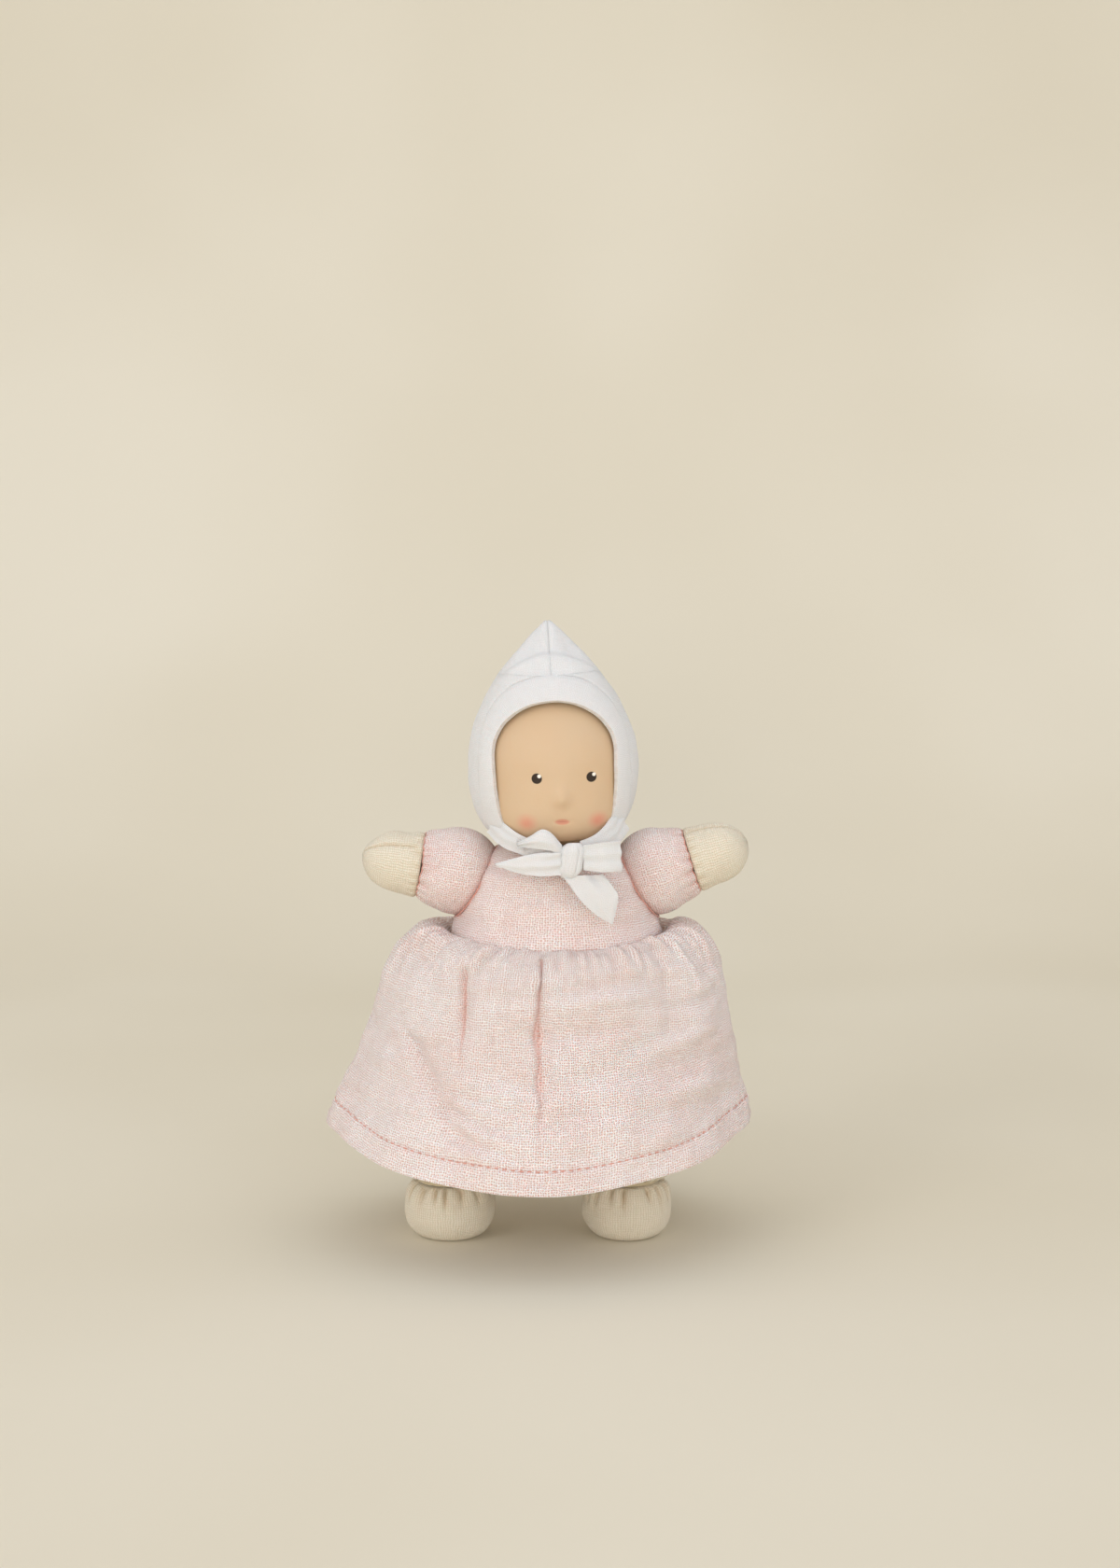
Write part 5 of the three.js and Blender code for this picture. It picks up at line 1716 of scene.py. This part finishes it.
@dataclass
class Head:
    """The moulded head; heights are from the neck's middle, and the jaws are the arguments of the outline."""

    frame: HeadFrame
    radius: float = 25.0
    jaw: float = 7.4
    widest: float = 29.2
    top: float = 56.7
    side_jaw: Pair = (22.0, 0.3)
    front_jaw: Pair = (24.2, 0.06)
    neck: float = 9.2
    plug: float = 5.4
    groove: Pair = (7.6, 3.5)
    nose_z: float = 21.9
    nose: float = 1.5
    columns: int = 200

    def outline(self, reach: float, corner: float) -> Array:
        """The head's outline from the neck to the crown.

        Args:
            reach: How far out the jaw's underside runs.
            corner: The height of the jaw's corner as a share of the way up to the widest part.

        Returns:
            Distances from the middle and heights.
        """
        r, g = self.groove
        neck = np.array([(self.neck, -self.plug), (self.neck, g - 2.1),
                         (r, g - 0.9), (r, g + 0.9), (self.neck, g + 2.1)])
        jaw = bezier([(self.neck, self.jaw), (reach, self.jaw),
                      (self.radius, self.jaw + corner * (self.widest - self.jaw)), (self.radius, self.widest)],
                     np.linspace(0, 1, 60))
        crown = bow_of((0, self.widest), (self.radius, self.top - self.widest), (0, math.radians(88)), 60)
        return np.vstack([evenly(neck, 20), evenly(np.vstack([jaw, crown[1:]]), 130)])

    def surface(self) -> Surface:
        """The head with its nose, cheeks and mouth.

        Returns:
            The head's outside, placed on the doll.
        """
        side, chin_line = self.outline(*self.side_jaw), self.outline(*self.front_jaw)
        angle = turns(self.columns)
        ahead = smooth(-0.3, -0.85, np.sin(angle))[..., None]
        line = side[:, None] + (chin_line - side)[:, None] * ahead
        x, y = line[..., 0] * np.cos(angle), line[..., 0] * np.sin(angle)
        made = ring_surface(np.stack([x, y, line[..., 1]], -1), np.array([0.0, 0.0, 30.0]))
        front = smooth(0, -8, y)
        z = made.points[..., 2]
        nose = self.nose * hump(x, 0, 2.5) * hump(z, self.nose_z, np.where(z > self.nose_z, 3.4, 2.3))
        cheeks = 0.55 * (hump(x, 10.5, 6) + hump(x, -10.5, 6)) * hump(z, 16, 5)
        sockets = 0.35 * (hump(x, 8.6, 4.5) + hump(x, -8.6, 4.5)) * hump(z, 28.5, 3.5)
        mouth = 0.35 * hump(x, 0, 2.6) * hump(z, 14.9, 0.45)
        lip = 0.3 * hump(x, 0, 2.4) * hump(z, 13.8, 1.0)
        chin = 0.4 * hump(x, 0, 5) * hump(z, 11, 2.5)
        made = made.raised(front * (nose + cheeks + lip + chin - sockets - mouth))
        return made.moved(self.frame.head(made.points))

    def build(self) -> None:
        """Makes the head in place of its solids."""
        head = make_piece("face_and_head", self.surface(), RUBBER)
        attach(head, Body.HEAD, "rubber_skin", "head_shell", "head_filling")


@dataclass
class Neck:
    """The gauze that is drawn in round the neck."""

    frame: HeadFrame
    ball: float = 12.05
    drawn: float = 8.9
    groove_z: float = 3.5
    frill: Pair = (10.5, 5.4)
    columns: int = 96

    def build(self) -> None:
        """Makes the gathered cover in place of its solid."""
        brow = math.asin((self.groove_z - 2.1) / self.ball)
        ball = bow_of((0, 0), (self.ball, self.ball), (math.radians(-86), brow), 40)
        waist = np.array([(self.drawn, self.groove_z - 0.8), (self.drawn, self.groove_z + 0.8), self.frill,
                          (self.frill[0] - 1.0, self.frill[1] + 0.1)])
        made = ring_surface(rings(np.vstack([ball, waist]), self.columns))
        folds = np.abs(np.sin(10 * turns(self.columns))) - 1
        made = made.raised(0.35 * folds * smooth(-4, 1, made.points[..., 2]))
        cover = make_piece("neck_gathers", made.moved(self.frame.neck(made.points)), GAUZE)
        attach(cover, Body.NECK, "pink_gauze", "neck_cover")
        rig.padded(cover, fill=0.6)
        dye("neck_thread", CREAM)


@dataclass
class Bonnet:
    """The pointed bonnet: two panels sewn along the middle and a folded brim; heights are from the neck's middle.

    The face is the opening's half-width, the height of that, its top and its bottom. The flare is the radius that the
    outline aims at below the peak, the brim's low end is where its outer line would close below the neck's middle, and
    the limit is the greatest share of the radius that lies aside on the front.
    """

    frame: HeadFrame
    radius: float = 27.0
    hem_z: float = 9.7
    hem: float = 21.0
    widest: float = 29.2
    peak: float = 75.9
    flare: float = 17.0
    tip: float = 0.8
    back: float = 4.0
    wall: float = 1.2
    face: tuple[float, float, float, float] = (19.2, 36.0, 51.9, 7.6)
    brim_side: float = 5.8
    brim_top: float = 7.6
    brim_low: float = 14.0
    brim_step: float = 0.6
    brim_wall: float = 1.9
    limit: float = 0.93

    def outline(self, z: Array) -> Array:
        """The bonnet's radius at heights.

        Args:
            z: The heights.

        Returns:
            The radii.
        """
        t = np.linspace(0, 1, 80)
        belly = (self.hem + 0.58 * (self.radius - self.hem), self.hem_z + 0.16 * (self.widest - self.hem_z))
        low = bezier([(self.hem, self.hem_z), belly, (self.radius, (self.hem_z + self.widest) / 2),
                      (self.radius, self.widest)], t)
        rise = self.peak - self.widest
        high = bezier([(self.radius, self.widest), (self.radius, self.widest + 0.4 * rise),
                       (self.flare, self.widest + 0.66 * rise), (self.tip, self.peak)], t)
        line = np.vstack([low, high[1:]])
        return np.interp(z, line[:, 1], line[:, 0])

    def behind(self, z: Array) -> Array:
        """How far back the middle lies at heights."""
        return self.back * smooth(self.widest, self.peak, z)

    def egg(self, half: float, widest: float, top: float, bottom: float, z: Array) -> Array:
        """Half-widths of an egg-shaped line at heights.

        Args:
            half: Its greatest half-width.
            widest: The height of that.
            top: Its top.
            bottom: Its bottom.
            z: The heights.

        Returns:
            The half-widths, 0 above its top.
        """
        upper = half * np.sqrt(np.clip(1 - ((z - widest) / (top - widest)) ** 2, 0, 1))
        low = bezier([(half, widest), (half, widest - 0.75 * (widest - bottom)),
                      (0.93 * half, bottom), (0, bottom)], np.linspace(0, 1, 120))[::-1]
        return np.where(z > widest, np.where(z < top, upper, 0), np.interp(z, low[:, 1], low[:, 0]))

    def seam(self, z: Array) -> Array:
        """Half-widths of the seam behind the brim, which stays on the bonnet's front.

        Args:
            z: Heights.

        Returns:
            The half-widths, eased where they reach the limit.
        """
        half, widest, top, _ = self.face
        wide = self.egg(half + self.brim_side, widest, top + self.brim_top, -self.brim_low, z)
        ease = 0.6
        return -np.logaddexp(-ease * wide, -ease * self.limit * self.outline(z)) / ease

    def front(self, x: Array, z: Array) -> Array:
        """Points of the bonnet's front.

        Args:
            x: Where they are seen sideways from straight ahead.
            z: Their heights.

        Returns:
            The points.
        """
        r = self.outline(z)
        aside = np.clip(x / r, -self.limit, self.limit)
        return np.stack([r * aside, self.behind(z) - r * np.sqrt(1 - aside**2), z], -1)

    def panel(self, sign: int) -> Surface:
        """One side of the bonnet, from the brim's seam round to the middle of the back.

        Args:
            sign: 1 for the left panel, -1 for the right.

        Returns:
            The panel's outside.
        """
        top = self.face[2] + self.brim_top
        t = np.linspace(0, 1, 60)
        z = np.concatenate([self.hem_z + (top - self.hem_z) * (1 - (1 - t) ** 1.35),
                            top + (self.peak - top) * t[1:]])
        r = self.outline(z)
        start = np.arcsin(np.clip((self.seam(z) - 0.6) / r, 0, 1))
        share = np.linspace(0, 1, 110)[None]
        angle = start[:, None] + (np.pi - start[:, None]) * share
        x, y = r[:, None] * np.sin(angle), self.behind(z)[:, None] - r[:, None] * np.cos(angle)
        points = np.stack([sign * x, y, np.broadcast_to(z[:, None], x.shape)], -1)
        u = run_across(points)
        cloth = flat_map(u + (r * start)[:, None], run_down(points))
        made = Surface(points, cloth, False, np.array([0.0, 2.0, 35.0]))
        high = points[..., 2]
        aside = np.degrees(np.arctan2(x, -(y - self.behind(z)[:, None])))
        arch = 65.8 - 8.6 * (np.abs(aside) / 85) ** 2 + 0.9 * grain(points, 12.0, 90)
        step = -1.3 * smooth(arch - 0.8, arch + 2.0, high) * smooth(80, 45, aside) * smooth(74.5, 67, high)
        ridge = 0.75 * hump(high, arch - 1.8, 2.0) * smooth(85, 45, aside)
        second = 0.4 * hump(high, arch - 6.0 + 0.03 * aside, 1.5) * smooth(85, 55, aside) * smooth(15, 40, aside)
        lumps = 0.55 * grain(points, 14.0, 93) + 0.22 * grain(points, 6.0, 96)
        edge = np.maximum(smooth(0, 2.0, u), smooth(top - 1, top + 1.5, high)) * smooth(0, 2.5, high - self.hem_z)
        middle = -0.5 * hump(x, 0, 0.9) * np.where(y < 0, smooth(65, 70, high), 1)
        seam = -0.45 * (1 - smooth(0.5, 2.2, u))
        made = made.raised(edge * (lumps + step + ridge + second) + middle + np.where(high < top, seam, 0))
        # painted shade in the seam groove under the brim and along the middle seam
        folded = 0.5 * hump(u, 0.8, 0.4) * (high < top)
        folded = folded + 0.22 * hump(x, 0, 0.35) * np.where(y < 0, smooth(64, 69, high), 1)
        pulled = made.points
        pulled[..., 0] = sign * np.maximum(sign * pulled[..., 0], 0.02)
        return replace(made, points=self.frame.bonnet(pulled), folded=folded)

    def brim(self) -> Surface:
        """The folded band round the face.

        Returns:
            The band's outside, from the left hem over the top to the right hem.
        """
        half, widest, top, bottom = self.face
        around = np.linspace(0, np.pi, 150)
        fall = np.linspace(0, 1, 70)[1:]
        z_low = widest + (self.hem_z + 0.1 - widest) * fall
        inner_low = np.stack([self.egg(half, widest, top, bottom, z_low), z_low], -1)
        outer_low = np.stack([self.seam(z_low), z_low], -1)
        inner_top = np.stack([half * np.cos(around), widest + (top - widest) * np.sin(around)], -1)
        wide = half + self.brim_side
        rise = top + self.brim_top - widest
        outer_top = np.stack([wide * np.cos(around), widest + rise * np.sin(around)], -1)
        mirror = np.array([-1, 1])
        inner = np.vstack([inner_low[::-1], inner_top, inner_low * mirror])
        outer = np.vstack([outer_low[::-1], outer_top, outer_low * mirror])
        outer[:, 0] = np.sign(outer[:, 0]) * np.maximum(self.seam(outer[:, 1]), 0)
        share = np.linspace(0, 1, 22)[None, :, None]
        flat = inner[:, None] + (outer - inner)[:, None] * share
        points = self.front(flat[..., 0], flat[..., 1])
        cloth = flat_map(run_across(points), run_along(points[:, points.shape[1] // 2]))
        made = Surface(points, cloth, False, np.array([0.0, 8.0, 30.0]))
        w = share[..., 0]
        crown = self.brim_step * np.sqrt(np.sin(np.pi * (0.06 + 0.9 * w))) + 0.25
        lumps = 0.22 * grain(points, 9.0, 99) + 0.1 * grain(points, 4.0, 100)
        seam = -0.35 * hump(w, 1.0, 0.08)
        made = made.raised(crown + lumps + seam)
        return made.moved(self.frame.bonnet(made.points))

    def build(self) -> None:
        """Makes the two panels and the brim."""
        band = self.brim()
        brim = make_piece("brim_band", band, COTTON, self.brim_wall)
        attach(brim, Body.HEAD, "white_cotton", "bonnet_brim")
        for side in Side:
            sewn = self.panel(side.value)
            panel = make_piece(f"bonnet_{side.label}_side", sewn, COTTON, self.wall)
            attach(panel, Body.HEAD, "white_cotton", f"bonnet_{side.label}_panel")
            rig.sheet(panel, held="stretched", rests_on=["face_and_head"], **sewn.cut())
        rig.sheet(brim, held="folded", rests_on=["face_and_head"], **band.cut())


@dataclass
class Ribbon:
    """A strip of the bow between two edges, in the doll's frame.

    Attributes:
        name: The piece's name.
        node: The solid that it stands for.
        upper: Points along its upper edge.
        lower: Points along its lower edge.
        bulge: How far its middle stands out.
        creases: Depth of its creases.
        wall: The cloth's thickness.
        puffed: Whether it is a padded piece.
        seed: Which set of lumps it has.
    """

    name: str
    node: str
    upper: list[Point]
    lower: list[Point]
    bulge: float
    creases: float
    wall: float = 0.9
    puffed: bool = False
    seed: int = 1

    def surface(self) -> Surface:
        """The strip's front, with its bulge and creases.

        Returns:
            The surface.
        """
        rows, columns = 70, 30
        top, low = softened(self.upper, rows), softened(self.lower, rows)
        share = np.linspace(0, 1, columns)[None, :, None]
        points = top[:, None] * (1 - share) + low[:, None] * share
        behind = points.reshape(-1, 3).mean(0) + np.array([0.0, 60.0, -10.0])
        made = Surface(points, flat_map(run_across(points), run_down(points)), False, behind)
        w, along = share[..., 0], np.linspace(0, 1, rows)[:, None]
        lift = self.bulge * np.sin(np.pi * w) * np.sin(np.pi * np.clip(0.1 + 0.85 * along, 0, 1))
        folds = self.creases * np.sin(w * math.tau * 2.2 + 2.5 * grain(points, 8.0, self.seed)) * (1 - along) ** 1.5
        return made.raised(lift + folds + 0.25 * grain(points, 5.0, self.seed + 3))

    def build(self) -> None:
        """Makes the strip in place of its solids."""
        made = self.surface()
        strip = make_piece(self.name, made, COTTON, self.wall)
        attach(strip, Body.HEAD, "white_cotton", self.node)
        if self.puffed:
            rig.padded(strip, fill=0.5)
        else:
            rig.sheet(strip, held="folded", rests_on=["bodice"], **made.cut())


@dataclass
class Bow:
    """The tied bow under the chin and the ties that run to it.

    Attributes:
        knot_middle: The knot's middle.
        knot: Its half-sizes.
        knot_square: How round it is: 1 for an oval, less for a squarer one.
        knot_lean: How far its ends lean to the sides.
        loop: The line of the left loop, out from the knot and back.
        loop_across: The direction of the loop's width.
        loop_widths: Its widths along the way.
        loop_wall: Its thickness.
        strips: The other loop, the tails and the ties.
    """

    knot_middle: Point = (10.4, -27.6, 127.0)
    knot: Point = (4.2, 3.4, 5.3)
    knot_square: float = 0.8
    knot_lean: float = 0.9
    loop: tuple[Point, ...] = (
        (14.2, -29.2, 127.8), (20.0, -31.2, 128.2), (25.2, -29.4, 128.4),
        (25.4, -28.0, 128.4), (20.5, -26.0, 127.4), (14.4, -26.6, 127.2))
    loop_across: Point = (-0.04, 0.0, 1.0)
    loop_widths: tuple[float, ...] = (7.6, 9.2, 9.4, 9.2, 7.4)
    loop_wall: float = 0.8
    strips: list[Ribbon] = field(default_factory=lambda: [
        Ribbon("right_loop", "bow_right_loop",
               [(-6.0, -26.0, 132.4), (-2.0, -28.4, 134.8), (1.4, -29.4, 136.8), (4.4, -29.4, 135.6),
                (7.6, -28.6, 131.8)],
               [(-6.0, -26.2, 131.0), (-2.6, -28.6, 130.8), (1.0, -30.0, 130.6), (4.4, -30.2, 130.2),
                (7.4, -29.2, 128.2)], bulge=1.6, creases=0.35, wall=1.6, puffed=True, seed=140),
        Ribbon("right_tail", "bow_right_tail",
               [(7.2, -29.8, 129.6), (1.0, -30.2, 129.6), (-5.0, -29.6, 128.4), (-13.0, -26.2, 125.7)],
               [(7.4, -29.8, 122.6), (0.6, -30.6, 122.4), (-6.6, -29.0, 123.2), (-13.2, -26.2, 125.2)],
               bulge=0.8, creases=0.45, seed=150),
        Ribbon("left_tail", "bow_left_tail",
               [(20.4, -27.6, 122.4), (23.4, -28.4, 118.6), (25.0, -28.4, 115.2), (23.4, -28.0, 106.9)],
               [(8.4, -29.6, 122.2), (13.0, -30.2, 115.2), (18.2, -29.4, 110.0), (23.0, -28.0, 106.8)],
               bulge=0.6, creases=0.4, seed=160),
        Ribbon("right_strap", "right_tie",
               [(-13.4, -15.4, 139.0), (-9.2, -20.2, 136.4), (-4.6, -23.8, 134.0), (0.4, -25.8, 132.4),
                (7.0, -26.4, 131.0)],
               [(-16.0, -11.6, 133.4), (-11.4, -18.4, 130.0), (-6.4, -22.4, 128.4), (-1.4, -24.8, 127.2),
                (7.0, -26.0, 126.4)], bulge=0.5, creases=0.3, seed=170),
        Ribbon("left_strap", "left_tie",
               [(25.2, -13.6, 142.0), (22.4, -19.0, 138.2), (18.6, -23.0, 134.8), (13.6, -26.6, 132.6)],
               [(28.8, -11.2, 134.0), (25.6, -17.4, 130.8), (20.4, -22.8, 128.6), (13.4, -26.2, 127.6)],
               bulge=0.4, creases=0.25, seed=180),
    ])

    def knot_surface(self) -> Surface:
        """The knot: a band wrapped round the ties, with a fold down its front.

        Returns:
            The knot's outside, from its lower end up.
        """
        t = np.linspace(-1, 1, 48)[:, None]
        angle = turns(96)
        c, s = np.cos(angle), np.sin(angle)
        across, ahead = (np.sign(way) * np.abs(way) ** self.knot_square for way in (c, s))
        waist = (1 - np.abs(t) ** 3.2 * 0.55) * (1 - 0.06 * np.cos(np.pi * t))
        x = self.knot[0] * waist * across + self.knot_lean * t
        y = self.knot[1] * waist * ahead
        z = self.knot[2] * t * (1 - 0.05 * s)
        made = ring_surface(np.stack([x, y, z], -1) + np.array(self.knot_middle))
        fold = -0.5 * hump(np.degrees(angle), -62, 5.0) - 0.25 * hump(np.degrees(angle), -115, 6.0)
        folds = fold * smooth(1.0, 0.7, np.abs(t)) + 0.2 * grain(made.points, 4.0, 120)
        return made.raised(folds)

    def loop_surface(self) -> Surface:
        """The left loop: a ribbon that runs out from the knot and back.

        Returns:
            The ribbon's outside.
        """
        rows = 90
        line = softened(self.loop, rows)
        way = np.asarray(self.loop_across, float) / np.linalg.norm(self.loop_across)
        share = np.linspace(-0.5, 0.5, 26)[None, :, None]
        width = np.interp(np.linspace(0, 1, rows), np.linspace(0, 1, len(self.loop_widths)), self.loop_widths)
        grid = line[:, None] + share * (width[:, None, None] * way)
        u = (share[..., 0] + 0.5) * width[:, None]
        made = Surface(grid, flat_map(u, run_along(line)), False, line.mean(0))
        return made.raised(0.25 * grain(grid, 5.0, 131) + 0.2 * np.sin(share[..., 0] * 14))

    def build(self) -> None:
        """Makes the knot, the loops, the tails and the ties."""
        knot = attach(make_piece("knot", self.knot_surface(), COTTON), Body.HEAD, "white_cotton", "bow_knot")
        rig.padded(knot, fill=0.9)
        looped = self.loop_surface()
        left_loop = make_piece("left_loop", looped, COTTON, self.loop_wall)
        attach(left_loop, Body.HEAD, "white_cotton", "bow_left_loop")
        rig.sheet(left_loop, held="folded", rests_on=["bodice"], **looped.cut())
        for strip in self.strips:
            strip.build()


@dataclass(frozen=True)
class Lamp:
    """A soft lamp that faces the doll.

    Attributes:
        name: The lamp's name.
        place: Where it hangs, in metres.
        size: Its width, in metres.
        power: Its strength in watts.
        colour: Its colour.
        spread: The angle that its light fills, in degrees.
        aim: The point that it faces, in metres.
    """

    name: str
    place: Point
    size: float
    power: float
    colour: str
    spread: float = 180.0
    aim: Point = (0.0, 0.0, 0.09)

    def hang(self) -> None:
        """Hangs the lamp in the scene."""
        light = bpy.data.lights.new(self.name, "AREA")
        light.size = self.size
        light.energy = self.power
        light.spread = math.radians(self.spread)
        light.color = tint(self.colour)[:3]
        lamp = bpy.data.objects.new(self.name, light)
        lamp.location = self.place
        lamp.rotation_euler = (Vector(self.aim) - Vector(self.place)).to_track_quat("-Z", "Y").to_euler()
        bpy.context.scene.collection.objects.link(lamp)


@dataclass
class Studio:
    """The floor, the light and the camera.

    The lens's length is in the picture's pixels, the pitch is how many degrees the camera looks down, the backdrop is
    how far behind the doll the floor starts to rise, and the reach is how far floor and backdrop run each way.
    """

    picture: tuple[int, int] = (1200, 1680)
    lens_pixels: float = 2953.0
    eye: Point = (7.0, -870.0, 258.0)
    pitch: float = 7.26
    sensor: float = 36.0
    backdrop: float = 420.0
    curve: float = 520.0
    reach: float = 2600.0
    room_colour: str = "f9faff"
    room_light: float = 0.88
    lamps: tuple[Lamp, ...] = (
        Lamp("window", (-1.25, -1.5, 0.95), 0.8, 6.0, "fffdfa"),
        Lamp("fill", (1.0, -1.7, 0.8), 1.8, 3.5, "ffffff"),
        Lamp("bounce", (-0.1, -1.7, 0.26), 0.5, 0.55, "fff4e6", 50.0),
    )

    def floor(self) -> None:
        """Makes a floor that sweeps up into a backdrop."""
        back, r = self.backdrop, self.curve
        line = [(-self.reach, 0.0)]
        line += [(back + r * math.cos(a), r + r * math.sin(a)) for a in np.linspace(-math.pi / 2, 0, 40)]
        line.append((back + r, self.reach))
        points = np.array([(x, y, z) for y, z in line for x in (-self.reach, self.reach)])
        faces = [(2 * i, 2 * i + 1, 2 * i + 3, 2 * i + 2) for i in range(len(line) - 1)]
        mesh = bpy.data.meshes.new("paper_sweep")
        mesh.from_pydata((points * MM).tolist(), [], faces)
        mesh.shade_smooth()
        mesh.materials.append(PAPER.material())
        sweep = bpy.data.objects.new("paper_sweep", mesh)
        bpy.context.scene.collection.objects.link(sweep)
        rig.stage(sweep)

    def camera(self) -> None:
        """Sets up the camera from which the photograph was taken."""
        camera = bpy.data.cameras.new("camera")
        camera.sensor_width = self.sensor
        camera.lens = self.sensor * self.lens_pixels / max(self.picture)
        camera.clip_start = 0.01
        holder = bpy.data.objects.new("camera", camera)
        holder.location = [c * MM for c in self.eye]
        holder.rotation_euler = (math.pi / 2 - math.radians(self.pitch), 0.0, 0.0)
        bpy.context.scene.collection.objects.link(holder)
        bpy.context.scene.camera = holder

    def build(self) -> None:
        """Makes the floor, the lamps, the surrounding light and the camera."""
        self.floor()
        for lamp in self.lamps:
            lamp.hang()
        world = bpy.data.worlds.new("soft room")
        world.use_nodes = True
        NodePen(world.node_tree).feed(world.node_tree.nodes["Background"], {
            "Color": tint(self.room_colour), "Strength": self.room_light})
        bpy.context.scene.world = world
        bpy.context.scene.view_settings.view_transform = "Standard"
        self.camera()


def write_sizes(before: list, after: list) -> None:
    """Writes the frame's box and the dressed doll's box.

    Args:
        before: The frame's lowest and highest corners.
        after: The dressed doll's.
    """
    plain = {"cad": [list(c) for c in before], "visual": [list(c) for c in after]}
    with open(SIZE_FILE, "w", encoding="utf-8") as out:
        json.dump(plain, out)


def main() -> None:
    """Dresses the frame, piece by piece."""
    logging.basicConfig(level=logging.INFO, format="%(name)s: %(message)s")
    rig.load()
    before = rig.bounds()
    Studio().build()
    stuffing = Stuffing()
    Skirt().build()
    trunk = Trunk()
    trunk.build()
    Arm(Side.LEFT, 17.0, 20.0).build(trunk, stuffing)
    Arm(Side.RIGHT, 9.0, -48.0).build(trunk, stuffing)
    for side in Side:
        Leg(side).build(stuffing)
    place = HeadFrame()
    Neck(place).build()
    Head(place).build()
    Bonnet(place).build()
    Bow().build()
    write_sizes(before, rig.bounds())


if __name__ == "__main__":
    main()
